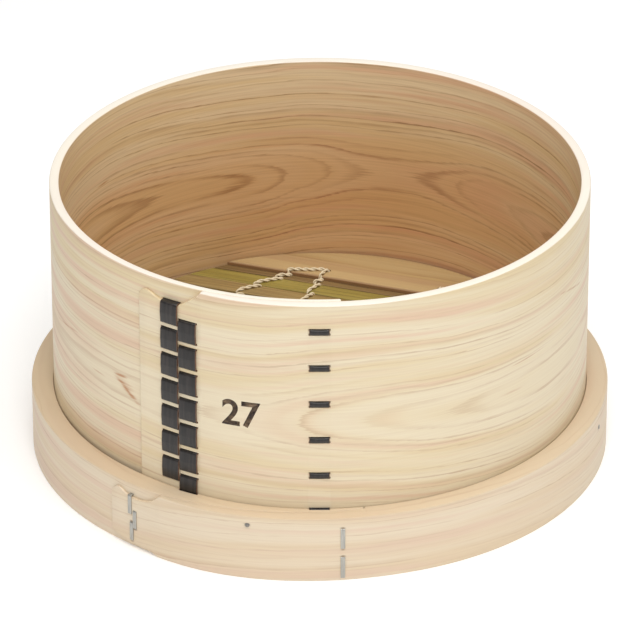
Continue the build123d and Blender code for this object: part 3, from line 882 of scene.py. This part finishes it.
# %% Band tree
def band_tree():
    t, given = new_tree("band_along_path", Width="Float", Thickness="Float", Bend="Float",
                        Edge="Float")
    rail = add(t, "GeometryNodeMeshToCurve", {"Mesh": given["Geometry"]})
    rail = add(t, "GeometryNodeFilletCurve", {"Curve": rail, "Radius": given["Bend"], "Count": 4,
                                              "Limit Radius": True}, mode="POLY")
    section = add(t, "GeometryNodeCurvePrimitiveQuadrilateral", {"Width": given["Width"],
                                                                 "Height": given["Thickness"]})
    section = add(t, "GeometryNodeSubdivideCurve", {"Curve": section, "Cuts": 2})
    section = add(t, "GeometryNodeFilletCurve", {"Curve": section, "Radius": given["Edge"],
                                                 "Count": 2, "Limit Radius": True}, mode="POLY")
    place = add(t, "ShaderNodeSeparateXYZ", {0: add(t, "GeometryNodeInputPosition")})
    across = add(t, "ShaderNodeMath", {0: place.outputs["X"], 1: given["Width"]},
                 operation="DIVIDE")
    section = add(t, "GeometryNodeStoreNamedAttribute", {"Geometry": section, "Name": "across",
                                                         "Value": across}, data_type="FLOAT")
    swept = add(t, "GeometryNodeCurveToMesh", {"Curve": rail, "Profile Curve": section,
                                               "Fill Caps": True})
    turn = add(t, "GeometryNodeInputNamedAttribute", {"Name": "turn"}, data_type="FLOAT")
    turned = add(t, "ShaderNodeVectorRotate", {"Vector": add(t, "GeometryNodeInputPosition"),
                                               "Angle": turn}, rotation_type="Z_AXIS")
    placed = add(t, "GeometryNodeSetPosition", {"Geometry": swept, "Position": turned})
    close_tree(t, given, placed)
    return t


band = band_tree()


def finish_band(piece):
    face_outwards(piece.data)
    shade_smooth(piece.data, 50)


print("band tree has", len(band.nodes), "nodes")

# %% [markdown]
# Cherry bark is almost black outside with a dull gloss, finely streaked along the strip, and its
# cut edges show a warmer brown. The streaks run up and down here, because each strip stands
# upright on the drum. A long run of strap bulges a little in the middle.

# %% Cherry bark
def cherry_bark():
    material, t, shader = new_finish("cherry_bark_strip", 0.38)
    place = add(t, "ShaderNodeTexCoord").outputs["Object"]
    long = add(t, "ShaderNodeMapping", {"Vector": place, "Scale": (1.0, 1.0, 0.07)})
    streak = add(t, "ShaderNodeTexNoise", {"Vector": long, "Scale": 1 / (1.3 * MM), "Detail": 4.0})
    streak = add(t, "ShaderNodeMapRange", {"Value": streak, "From Min": 0.42, "From Max": 0.75})
    colour = add(t, "ShaderNodeMix", {"Factor": streak, "A": linear("#1B1817"),
                                      "B": linear("#332C2A")}, data_type="RGBA")
    across = add(t, "ShaderNodeAttribute", attribute_name="across")
    edge = add(t, "ShaderNodeMath", {0: across.outputs["Fac"]}, operation="ABSOLUTE")
    edge = add(t, "ShaderNodeMapRange", {"Value": edge, "From Min": 0.455, "From Max": 0.5})
    colour = add(t, "ShaderNodeMix", {"Factor": edge, "A": colour, "B": linear("#6B4A33")},
                 data_type="RGBA")
    lay_on(t, shader, colour, streak, 0.25, 0.1 * MM)
    return material


bark = cherry_bark()
BULGE = 0.35 * MM
LONG_RUN = 4 * MM
STRAP_FIT = 0.1 * MM


def lace(name):
    angle = strap_angle(name)
    lean = degrees(STRAP_WIDTH / 2 / DRUM_RADIUS)
    sides = (angle - lean, angle + lean)
    outside = max(drum_outer(a) for a in sides) + STRAP_FIT + STRAP / 2
    innermost = min(drum_inner(a + 360 if a + 360 < INNER_END else a) for a in sides)
    inside = innermost - STRAP_FIT - STRAP / 2
    runs = strap_runs(name)
    path = [(inside, runs[0][0] + STRAP_TAIL)]
    for top, foot in runs:
        middle = [(outside + BULGE, (top + foot) / 2)] if top - foot > LONG_RUN else []
        path += [(inside, top), (outside, top), *middle, (outside, foot), (inside, foot)]
    path.append((inside, runs[-1][1] - STRAP_TAIL))
    base = chain(name, [[(0, -r, z) for r, z in path]], turn=[radians(angle)] * len(path))
    piece = grow(name + "_bark", base, band, Width=STRAP_WIDTH, Thickness=STRAP, Bend=0.9 * MM,
                 Edge=0.15 * MM, Material=bark)
    finish_band(piece)
    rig.replaces(piece, name)
    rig.slot(piece, "bark")
    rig.ride(piece, "basket")


for strap_name in STRAP_STEPS:
    lace(strap_name)

# %% [markdown]
# The ring is held by flat wire staples of zinc-plated steel, pressed flush, so only their crowns show, with a small
# dent at each end. The dents are not cut: their shade is painted on the ring's wood. Zinc is a soft light grey with
# fine scratches.

# %% Staples
def plated_steel(name, dull, bright):
    material, t, shader = new_finish(name, 0.42, Metallic=0.85)
    place = add(t, "ShaderNodeTexCoord").outputs["Object"]
    scratch = add(t, "ShaderNodeMapping", {"Vector": place, "Scale": (1.0, 1.0, 0.12)})
    scratch = add(t, "ShaderNodeTexNoise", {"Vector": scratch, "Scale": 1 / (0.7 * MM),
                                            "Detail": 3.0})
    colour = add(t, "ShaderNodeMix", {"Factor": scratch, "A": linear(dull),
                                      "B": linear(bright)}, data_type="RGBA")
    lay_on(t, shader, colour, scratch, 0.2, 0.05 * MM)
    return material


staple_steel = plated_steel("zinc_plated_steel", "#93928E", "#C6C5BF")
nail_steel = plated_steel("weathered_nail_steel", "#6C6965", "#A6A39D")
STAPLE_WIDTH = 2.2 * MM
STAPLE_WIRE = 0.5 * MM
STAPLE_LEG = 8.0 * MM
# angle, foot and top of each crown
STAPLES = {
    "seam_staples": [(-39.5, 0.0187, 0.0297), (-38.3, 0.0112, 0.0215), (-39.1, 0.0041, 0.0146)],
    "inner_end_staples": [(4.4, 0.0178, 0.0292), (4.4, 0.0013, 0.0133)],
}


def staple_path(angle, foot, top):
    face = ring_outer(angle)
    crown = face + 0.05 * MM + STAPLE_WIRE / 2
    low, high = foot + STAPLE_WIRE / 2, top - STAPLE_WIRE / 2
    return [(0, -r, z) for r, z in ((face - STAPLE_LEG, low), (crown, low), (crown, high),
                                    (face - STAPLE_LEG, high))]


for node, staples in STAPLES.items():
    base = chain(node, [staple_path(*s) for s in staples], turn=[radians(s[0]) for s in staples])
    piece = grow(node + "_wire", base, band, Width=STAPLE_WIDTH, Thickness=STAPLE_WIRE,
                 Bend=0.5 * MM, Edge=0.12 * MM, Material=staple_steel)
    finish_band(piece)
    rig.replaces(piece, node)
    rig.slot(piece, "staple_steel")
    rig.ride(piece, "basket")

# %% [markdown]
# ## Nails
# Four wire nails go through the ring and the drum into the ends of the cross bars. One nail is
# turned on a lathe, with a low domed head and a pointed tip, and Geometry Nodes sets a copy at
# each place, aimed inwards and slightly down. The nails' plating has weathered, so the steel made
# for them above is darker than the staples'.

# %% Nails
# angle in degrees and height in metres of each head, then the radius and depth of each point of
# one nail's outline, in millimetres
NAILS = [(-13.9, 0.0304), (74.0, 0.0265), (166.0, 0.0290), (-104.0, 0.0280)]
NAIL_PROFILE = [(0.0, -0.30), (0.7, -0.26), (1.15, -0.12), (1.3, 0.02), (1.15, 0.16), (0.8, 0.2),
                (0.8, 23.6), (0.0, 26.0)]
NAIL_SLOPE = 12


def turned_nail():
    work = bmesh.new()
    points = [work.verts.new((r * MM, 0, z * MM)) for r, z in NAIL_PROFILE]
    edges = [work.edges.new(pair) for pair in zip(points, points[1:])]
    bmesh.ops.spin(work, geom=points + edges, axis=(0, 0, 1), cent=(0, 0, 0), steps=20,
                   angle=2 * pi)
    bmesh.ops.remove_doubles(work, verts=work.verts, dist=1e-6)
    bmesh.ops.recalc_face_normals(work, faces=work.faces)
    mesh = bpy.data.meshes.new("nail")
    work.to_mesh(mesh)
    work.free()
    shade_smooth(mesh)
    return new_piece("nail_model", mesh)


def nails_tree():
    t, given = new_tree("nails_round_ring", Nail="Object", Slope="Float")
    model = add(t, "GeometryNodeObjectInfo", {"Object": given["Nail"]})
    turn = add(t, "GeometryNodeInputNamedAttribute", {"Name": "turn"}, data_type="FLOAT")
    tilt = add(t, "ShaderNodeMath", {0: given["Slope"], 1: -pi / 2}, operation="SUBTRACT")
    tilt = add(t, "ShaderNodeMath", {0: tilt, 1: -1.0}, operation="MULTIPLY")
    aim = add(t, "ShaderNodeCombineXYZ", {"X": tilt, "Z": turn})
    driven = add(t, "GeometryNodeInstanceOnPoints", {
        "Points": given["Geometry"], "Instance": model.outputs["Geometry"], "Rotation": aim})
    close_tree(t, given, driven)
    return t


model = turned_nail()
nail_points = [(ring_outer(a) * sin(radians(a)), -ring_outer(a) * cos(radians(a)), z)
               for a, z in NAILS]
base = chain("ring_nails", [[p] for p in nail_points], turn=[radians(a) for a, _ in NAILS])
nails = grow("nails", base, nails_tree(), Nail=model, Slope=radians(NAIL_SLOPE),
             Material=nail_steel)
bpy.data.objects.remove(model)
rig.replaces(nails, "ring_nails")
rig.slot(nails, "staple_steel")
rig.ride(nails, "basket")
print("nails reach", [round(v, 4) for v in nails.bound_box[0]])

# %% [markdown]
# ## The cross bars and the end boards of the mat
# These are plain sawn cypress with broken edges, and the frame's own solids have the right shape, so they only get
# their wood. The bars run at an angle to the axes, so the pattern is turned with them by a Mapping node. An end board
# carries painted shade along its long sawn edge.

# %% Sawn cypress
MAT_TURN = radians(-18.9)
BAR_TURN = radians(-14.0)


def mat_frame(turn, shift):
    """Mapping that undoes a turn about Z and a shift along Y, and counts in millimetres."""
    return {"Rotation": (0, 0, -turn), "Scale": (1 / MM, 1 / MM, 1 / MM),
            "Location": (-shift / MM * sin(turn), -shift / MM * cos(turn), 0)}


def sawn_cypress(name, turn, shift, colours, centre, edge=0.0):
    """Straight-grained wood, its grain along X after the turn, with painted shade at a given edge."""
    material, t, shader = new_finish(name, 0.6)
    place = add(t, "ShaderNodeTexCoord").outputs["Object"]
    place = add(t, "ShaderNodeMapping", {"Vector": place, **mat_frame(turn, shift)})
    place = add(t, "ShaderNodeSeparateXYZ", {0: place})
    reach = growth(t, place.outputs["X"], place.outputs["Y"], place.outputs["Z"], *centre)
    colour, dark = cypress(t, reach, place.outputs["X"], place.outputs["Y"], colours)
    # painted shade along the end board's long sawn edge
    aside = add(t, "ShaderNodeMath", {0: place.outputs["Y"]}, operation="ABSOLUTE")
    painted_edge_shade = add(t, "ShaderNodeMapRange", {"Value": aside, "From Min": edge + 0.8,
                                          "From Max": edge + 0.2, "To Max": 0.75 if edge else 0.0})
    colour = add(t, "ShaderNodeMix", {"Factor": painted_edge_shade, "A": colour, "B": linear("#80552F")},
                 data_type="RGBA")
    grain = fibres(t, place.outputs["X"], place.outputs["Y"], 9.0, 0.8)
    relief = add(t, "ShaderNodeMath", {0: grain, 1: 0.8, 2: dark}, operation="MULTIPLY_ADD")
    lay_on(t, shader, colour, relief, 0.35, 0.15 * MM)
    return material


BAR_COLOURS = ("#E2CDA6", "#DCC294", "#D9BC98", "#AF875F")
BOARD_COLOURS = ("#BBA071", "#B59866", "#B2926A", "#855C36")
MAT_SHIFT = 1.2 * MM
BOARD_EDGE = 0.0961


def dress(node, material):
    for material_slot in frame["nodes"][node].material_slots:
        material_slot.material = material


for node, turn in (("cross_bar_upper", BAR_TURN - pi / 2), ("cross_bar_lower", BAR_TURN)):
    dress(node, sawn_cypress(node + "_sawn_cypress", turn, 0.0, BAR_COLOURS, (30.0, -40.0)))
for node in ("mat_board_back", "mat_board_front"):
    dress(node, sawn_cypress(node + "_sawn_cypress", MAT_TURN, MAT_SHIFT, BOARD_COLOURS,
                             (150.0, 20.0), BOARD_EDGE / MM))
print("bars and boards dressed")

# %% [markdown]
# ## Bamboo slats
# The slats are split from a culm. Every other one shows its green-yellow skin, and the rest show
# the pale inner wood, a little browner. A narrow filler slat, browner still, lies beside each end
# board. A slat is a shallow crowned strip, no two quite alike. A tree sweeps one crowned section
# along every centre line and lets a fixed noise stir it by a small part of a millimetre. It then
# cuts the ends back to the arc of the drum's wall and turns the slats into the mat's place.

# %% Slat layout
MAT_PLACE = Matrix.Translation((0, MAT_SHIFT, 0)) @ Matrix.Rotation(MAT_TURN, 4, "Z")
SLAT_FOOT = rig.box("slat_01")[0].z
SLAT_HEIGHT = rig.box("slat_01")[1].z - SLAT_FOOT
SLAT_REACH = 0.1274
SLAT_CROWN = 0.45 * MM
SLAT_COUNT = 16
FIELD = 0.0903
NARROW_GAP, WIDE_GAP = 0.6 * MM, 1.6 * MM
FILLER = (0.0954, 0.0909)
BETWEEN_SLATS = [WIDE_GAP if i % 2 else NARROW_GAP for i in range(SLAT_COUNT - 1)]
SLAT_WIDTH = (2 * FIELD - sum(BETWEEN_SLATS)) / SLAT_COUNT


def slat_edges():
    """Far and near edge of each wide slat, from the back of the mat to the front."""
    edges = [(FIELD, FIELD - SLAT_WIDTH)]
    for gap in BETWEEN_SLATS:
        far = edges[-1][1] - gap
        edges.append((far, far - SLAT_WIDTH))
    return edges


def slat_line(far, near):
    half_length = sqrt(SLAT_REACH ** 2 - min(abs(far), abs(near)) ** 2)
    return [(x, (far + near) / 2, SLAT_FOOT + SLAT_HEIGHT / 2) for x in (-half_length, half_length)]


print("first slat", [round(v, 4) for v in slat_line(*slat_edges()[0])[0]])

# %% Slat tree
def slat_tree():
    t, given = new_tree("split_slats", Width="Float", Height="Float", Crown="Float", Stir="Float",
                        Seed="Float", Reach="Float", Turn="Float", Shift="Float")
    rail = add(t, "GeometryNodeMeshToCurve", {"Mesh": given["Geometry"]})
    rail = add(t, "GeometryNodeResampleCurve", {"Curve": rail, "Length": 5 * MM}, mode="LENGTH")
    rail = add(t, "GeometryNodeSetCurveNormal", {"Curve": rail}, mode="Z_UP")
    section = add(t, "GeometryNodeCurvePrimitiveQuadrilateral", {"Width": given["Width"],
                                                                 "Height": given["Height"]})
    section = add(t, "GeometryNodeFilletCurve", {"Curve": section, "Radius": 0.25 * MM, "Count": 2,
                                                 "Limit Radius": True}, mode="POLY")
    section = add(t, "GeometryNodeSubdivideCurve", {"Curve": section, "Cuts": 3})
    place = add(t, "ShaderNodeSeparateXYZ", {0: add(t, "GeometryNodeInputPosition")})
    side = add(t, "ShaderNodeMath", {0: place.outputs["X"], 1: given["Width"]}, operation="DIVIDE")
    side = add(t, "ShaderNodeMath", {0: side, 1: side}, operation="MULTIPLY")
    upper = add(t, "ShaderNodeMapRange", {"Value": place.outputs["Y"], "From Min": -1 * MM,
                                          "From Max": 1 * MM})
    drop = side
    for part in (upper, given["Crown"], -4.0):
        drop = add(t, "ShaderNodeMath", {0: drop, 1: part}, operation="MULTIPLY")
    drop = add(t, "ShaderNodeCombineXYZ", {"Y": drop})
    section = add(t, "GeometryNodeSetPosition", {"Geometry": section, "Offset": drop})
    swept = add(t, "GeometryNodeCurveToMesh", {"Curve": rail, "Profile Curve": section,
                                               "Fill Caps": True})
    here = add(t, "GeometryNodeInputPosition")
    stir = add(t, "ShaderNodeTexNoise", {"Vector": here, "W": given["Seed"], "Scale": 1 / (22 * MM),
                                         "Detail": 1.0}, noise_dimensions="4D").outputs["Color"]
    stir = add(t, "ShaderNodeVectorMath", {0: stir, 1: (0.5, 0.5, 0.5)}, operation="SUBTRACT")
    stir = add(t, "ShaderNodeVectorMath", {0: stir, "Scale": given["Stir"]}, operation="SCALE")
    stirred = add(t, "GeometryNodeSetPosition", {"Geometry": swept, "Offset": stir})
    place = add(t, "ShaderNodeSeparateXYZ", {0: add(t, "GeometryNodeInputPosition")})
    square = add(t, "ShaderNodeMath", {0: given["Reach"], 1: 2.0}, operation="POWER")
    aside = add(t, "ShaderNodeMath", {0: place.outputs["Y"], 1: place.outputs["Y"]},
                operation="MULTIPLY")
    limit = add(t, "ShaderNodeMath", {0: square, 1: aside}, operation="SUBTRACT")
    limit = add(t, "ShaderNodeMath", {0: limit}, operation="SQRT")
    other = add(t, "ShaderNodeMath", {0: limit, 1: -1.0}, operation="MULTIPLY")
    along = add(t, "ShaderNodeMath", {0: place.outputs["X"], 1: limit}, operation="MINIMUM")
    along = add(t, "ShaderNodeMath", {0: along, 1: other}, operation="MAXIMUM")
    sawn = add(t, "GeometryNodeSetPosition", {"Geometry": stirred, "Position": add(
        t, "ShaderNodeCombineXYZ", {"X": along, "Y": place.outputs["Y"], "Z": place.outputs["Z"]})})
    turned = add(t, "GeometryNodeTransform", {
        "Geometry": sawn, "Rotation": add(t, "ShaderNodeCombineXYZ", {"Z": given["Turn"]}),
        "Translation": add(t, "ShaderNodeCombineXYZ", {"Y": given["Shift"]})})
    close_tree(t, given, turned)
    return t


split_slats = slat_tree()
print("slat tree has", len(split_slats.nodes), "nodes")

# %% [markdown]
# Bamboo's fibres show as hair-fine dark lines from end to end. Each slat has its own tone, which
# a step across the mat gives, and the green skin is smoother than the split inner side.

# %% Bamboo
SLAT_PITCH = 11.39


def split_bamboo(name, colours, roughness):
    light, deep, line = (linear(c) for c in colours)
    material, t, shader = new_finish(name, roughness)
    place = add(t, "ShaderNodeTexCoord").outputs["Object"]
    place = add(t, "ShaderNodeMapping", {"Vector": place, **mat_frame(MAT_TURN, MAT_SHIFT)})
    place = add(t, "ShaderNodeSeparateXYZ", {0: place})
    along, across = place.outputs["X"], place.outputs["Y"]
    strip = add(t, "ShaderNodeMath", {0: across, 1: 1 / SLAT_PITCH}, operation="MULTIPLY")
    strip = add(t, "ShaderNodeMath", {0: strip}, operation="FLOOR")
    own = add(t, "ShaderNodeTexWhiteNoise", {"W": strip}, noise_dimensions="1D").outputs["Value"]
    wash = fibres(t, along, across, 70.0, 5.0)
    tone = add(t, "ShaderNodeMath", {0: own, 1: 0.5, 2: wash}, operation="MULTIPLY_ADD")
    tone = add(t, "ShaderNodeMapRange", {"Value": tone, "From Min": 0.35, "From Max": 1.1})
    colour = add(t, "ShaderNodeMix", {"Factor": tone, "A": light, "B": deep}, data_type="RGBA")
    hair = fibres(t, along, across, 45.0, 0.55)
    hair = add(t, "ShaderNodeMapRange", {"Value": hair, "From Min": 0.48, "From Max": 0.72,
                                         "To Max": 0.85})
    colour = add(t, "ShaderNodeMix", {"Factor": hair, "A": colour, "B": line}, data_type="RGBA")
    lay_on(t, shader, colour, hair, 0.5, 0.15 * MM)
    return material


bamboo_skin = split_bamboo("split_bamboo_skin", ("#A89850", "#8A7936", "#584520"), 0.4)
bamboo_inner = split_bamboo("split_bamboo_inner", ("#B39C68", "#937A48", "#5C4224"), 0.6)
bamboo_filler = split_bamboo("split_bamboo_filler", ("#94794A", "#785E36", "#4A341C"), 0.6)


def lay_slats(name, edges, nodes, material, slot, width, stir, seed):
    base = chain(name, [slat_line(*pair) for pair in edges])
    piece = grow(name, base, split_slats, Width=width, Height=SLAT_HEIGHT, Crown=SLAT_CROWN,
                 Stir=stir, Seed=seed, Reach=SLAT_REACH, Turn=MAT_TURN, Shift=MAT_SHIFT,
                 Material=material)
    finish_band(piece)
    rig.replaces(piece, *nodes)
    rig.slot(piece, slot)
    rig.ride(piece, "mat")


wide = slat_edges()
for start, slot, material in ((0, "bamboo_skin", bamboo_skin), (1, "bamboo_inner", bamboo_inner)):
    numbers = range(start, SLAT_COUNT, 2)
    lay_slats(slot + "_slats", [wide[i] for i in numbers],
              [f"slat_{i + 1:02d}" for i in numbers], material,
              slot, SLAT_WIDTH, 0.5 * MM, 3.0 + start)
lay_slats("filler_slats", [FILLER, (-FILLER[1], -FILLER[0])],
          ["filler_slat_back", "filler_slat_front"],
          bamboo_filler, "bamboo_inner", FILLER[0] - FILLER[1], 0.2 * MM, 9.0)

# %% [markdown]
# ## The lacing string
# Two cotton strands twine the slats: where one passes over a slat the other passes under it, and
# they cross in each gap. Each string makes an inner and an outer line, and one strand of a line
# also runs over the end boards into their holes. The string is two plies twisted together. A tree
# smooths the path, turns a pair of circles along it and so lays the plies round each other.

# %% Cord tree
def cord_tree():
    t, given = new_tree("two_ply_cord", Diameter="Float", Pitch="Float")
    rail = add(t, "GeometryNodeMeshToCurve", {"Mesh": given["Geometry"]})
    rail = add(t, "GeometryNodeCurveSplineType", {"Curve": rail}, spline_type="CATMULL_ROM")
    rail = add(t, "GeometryNodeResampleCurve", {"Curve": rail, "Length": 0.5 * MM}, mode="LENGTH")
    length = add(t, "GeometryNodeSplineParameter").outputs["Length"]
    twist = add(t, "ShaderNodeMath", {0: length, 1: given["Pitch"]}, operation="DIVIDE")
    twist = add(t, "ShaderNodeMath", {0: twist, 1: 2 * pi}, operation="MULTIPLY")
    rail = add(t, "GeometryNodeSetCurveTilt", {"Curve": rail, "Tilt": twist})
    quarter = add(t, "ShaderNodeMath", {0: given["Diameter"], 1: 0.25}, operation="MULTIPLY")
    plies = []
    for way in (-1, 1):
        ply = add(t, "GeometryNodeCurvePrimitiveCircle", {"Resolution": 7, "Radius": quarter})
        aside = add(t, "ShaderNodeMath", {0: quarter, 1: 0.92 * way}, operation="MULTIPLY")
        plies.append(add(t, "GeometryNodeTransform", {
            "Geometry": ply, "Translation": add(t, "ShaderNodeCombineXYZ", {"X": aside})}))
    pair = add(t, "GeometryNodeJoinGeometry", {"Geometry": plies})
    swept = add(t, "GeometryNodeCurveToMesh", {"Curve": rail, "Profile Curve": pair,
                                               "Fill Caps": True})
    close_tree(t, given, swept)
    return t


two_ply_cord = cord_tree()

# %% String routes
# a line's places are across and along the mat: the outer line bends in towards the boards' holes
CORD = 2.1 * MM
PLY_PITCH = 8.0 * MM
SLANT = 1.6 * MM
INNER_LINE = 0.0326
OUTER_BEND = [(0.0685, 0.067), (0.0617, 0.0797), (0.0537, 0.0906), (0.0500, 0.09575)]
HOLE = (0.0309, 0.1030)
BOARD_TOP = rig.box("mat_board_back")[1].z
OVER = SLAT_FOOT + SLAT_HEIGHT + CORD / 2
UNDER = SLAT_FOOT - CORD / 2 + 0.1 * MM
CROSSING = SLAT_FOOT + SLAT_HEIGHT / 2


def outer_line(y):
    far = abs(y)
    if far <= OUTER_BEND[0][1]:
        return OUTER_BEND[0][0]
    for (x0, y0), (x1, y1) in zip(OUTER_BEND, OUTER_BEND[1:]):
        if far <= y1:
            return x0 + (x1 - x0) * (far - y0) / (y1 - y0)
    return OUTER_BEND[-1][0]


def twine(line, starts_over):
    """One strand of a twined line, from the back end board to the front one."""
    strips = [FILLER, *slat_edges(), (-FILLER[1], -FILLER[0])]
    points = []
    for number, (far, near) in enumerate(strips):
        over = (number % 2 == 0) == starts_over
        level, lift = (OVER, 1) if over else (UNDER, -1)
        gap = far + 0.3 * MM
        shoulder = level - lift * 0.45 * MM
        middle = (far + near) / 2
        points += [(line(gap) + lift * SLANT, gap, CROSSING),
                   (line(far) + lift * SLANT, far - 0.9 * MM, shoulder),
                   (line(middle), middle, level),
                   (line(near) - lift * SLANT, near + 0.9 * MM, shoulder)]
    last = strips[-1][1] - 0.3 * MM
    points.append((line(last), last, CROSSING))
    return points


def over_board(x, way):
    """From inside the hole, over the end board and down past its edge."""
    top = BOARD_TOP + CORD * 0.42
    hole = (HOLE[0], HOLE[1] * way)
    return [(*hole, BOARD_TOP - 4 * MM), (*hole, BOARD_TOP - 0.5 * MM),
            (hole[0] * 0.85 + x * 0.15, (HOLE[1] * 0.85 + BOARD_EDGE * 0.15) * way, top),
            ((hole[0] + x) / 2, (HOLE[1] + BOARD_EDGE) / 2 * way, top),
            (x, (BOARD_EDGE + 0.3 * MM) * way, top),
            (x, (BOARD_EDGE - 0.7 * MM) * way, top - 1.6 * MM)]


def string_routes():
    routes = []
    for line in (lambda y: INNER_LINE, outer_line):
        end = line(BOARD_EDGE)
        routes.append(over_board(end, 1) + twine(line, True)[1:-1] + over_board(end, -1)[::-1])
        routes.append(twine(line, False))
    return routes


print("string lines at", INNER_LINE, "and", OUTER_BEND[0][0])

# %% Cotton string
def cotton():
    material, t, shader = new_finish("twisted_cotton", 0.85)
    place = add(t, "ShaderNodeTexCoord").outputs["Object"]
    fuzz = add(t, "ShaderNodeTexNoise", {"Vector": place, "Scale": 1 / (0.6 * MM), "Detail": 3.0})
    colour = add(t, "ShaderNodeMix", {"Factor": fuzz, "A": linear("#C9B893"),
                                      "B": linear("#EADDC2")}, data_type="RGBA")
    lay_on(t, shader, colour, fuzz, 0.6, 0.15 * MM)
    return material


cotton_string = cotton()
for side, turn in (("right", 0.0), ("left", pi)):
    place = MAT_PLACE @ Matrix.Rotation(turn, 4, "Z")
    routes = [[tuple(place @ Vector(p)) for p in route] for route in string_routes()]
    node = "lacing_string_" + side
    piece = grow(node + "_cotton", chain(node, routes), two_ply_cord, Diameter=CORD, Pitch=PLY_PITCH,
                 Material=cotton_string)
    shade_smooth(piece.data)
    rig.replaces(piece, node)
    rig.slot(piece, "cotton")
    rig.ride(piece, "mat")

# %% [markdown]
# ## The size number
# The size of the tier in centimetres is stamped on the drum. It is drawn in a plain letterform,
# turned to a mesh, cut finely enough to bend, and wrapped round the drum as a film of ink a few
# hundredths of a millimetre thick. Stamped ink is uneven, so its colour lets the wood through.

# %% Size number
NUMBER_ANGLE = -16.4
NUMBER_FOOT = 0.0775
NUMBER_HEIGHT = 0.0145
NUMBER_WIDTH = 0.0195
INK_STANDS = 0.03 * MM


def stamped_number(text):
    letters = bpy.data.curves.new("size_number", "FONT")
    letters.body = text
    letters.offset = 0.02
    flat = new_piece("size_number_flat", letters)
    bpy.context.view_layer.update()
    depsgraph = bpy.context.evaluated_depsgraph_get()
    mesh = bpy.data.meshes.new_from_object(flat.evaluated_get(depsgraph))
    bpy.data.objects.remove(flat)
    work = bmesh.new()
    work.from_mesh(mesh)
    bmesh.ops.remove_doubles(work, verts=work.verts, dist=1e-5)
    bmesh.ops.triangulate(work, faces=work.faces)
    low = [min(v.co[i] for v in work.verts) for i in (0, 1)]
    high = [max(v.co[i] for v in work.verts) for i in (0, 1)]
    bmesh.ops.subdivide_edges(work, edges=work.edges, cuts=3, use_grid_fill=True)
    for v in work.verts:
        across = ((v.co.x - low[0]) / (high[0] - low[0]) - 0.5) * NUMBER_WIDTH
        angle = NUMBER_ANGLE + degrees(across / DRUM_RADIUS)
        radius = drum_outer(angle) + INK_STANDS
        rise = (v.co.y - low[1]) / (high[1] - low[1]) * NUMBER_HEIGHT
        v.co = (radius * sin(radians(angle)), -radius * cos(radians(angle)), NUMBER_FOOT + rise)
    bmesh.ops.solidify(work, geom=work.faces, thickness=-0.02 * MM)
    bmesh.ops.recalc_face_normals(work, faces=work.faces)
    work.to_mesh(mesh)
    work.free()
    return new_piece("size_number", mesh)


def stamping_ink():
    material, t, shader = new_finish("stamping_ink", 0.6)
    place = add(t, "ShaderNodeTexCoord").outputs["Object"]
    worn = add(t, "ShaderNodeTexNoise", {"Vector": place, "Scale": 1 / (3.5 * MM), "Detail": 5.0,
                                         "Roughness": 0.65})
    worn = add(t, "ShaderNodeMapRange", {"Value": worn, "From Min": 0.40, "From Max": 0.72})
    colour = add(t, "ShaderNodeMix", {"Factor": worn, "A": linear("#453630"),
                                      "B": linear("#967B5E")}, data_type="RGBA")
    t.links.new(colour.outputs[2], shader.inputs["Base Color"])
    return material


number = stamped_number("27")
number.data.materials.clear()
number.data.materials.append(stamping_ink())
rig.slot(number, "drum_cypress")
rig.ride(number, "basket")
print("number has", len(number.data.polygons), "faces")

# %% Sizes and finish
json.dump({"cad": [list(corner) for corner in cad_bounds], "visual": [list(corner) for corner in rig.bounds()]},
          open("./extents.json", "w"))
print(open("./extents.json").read())
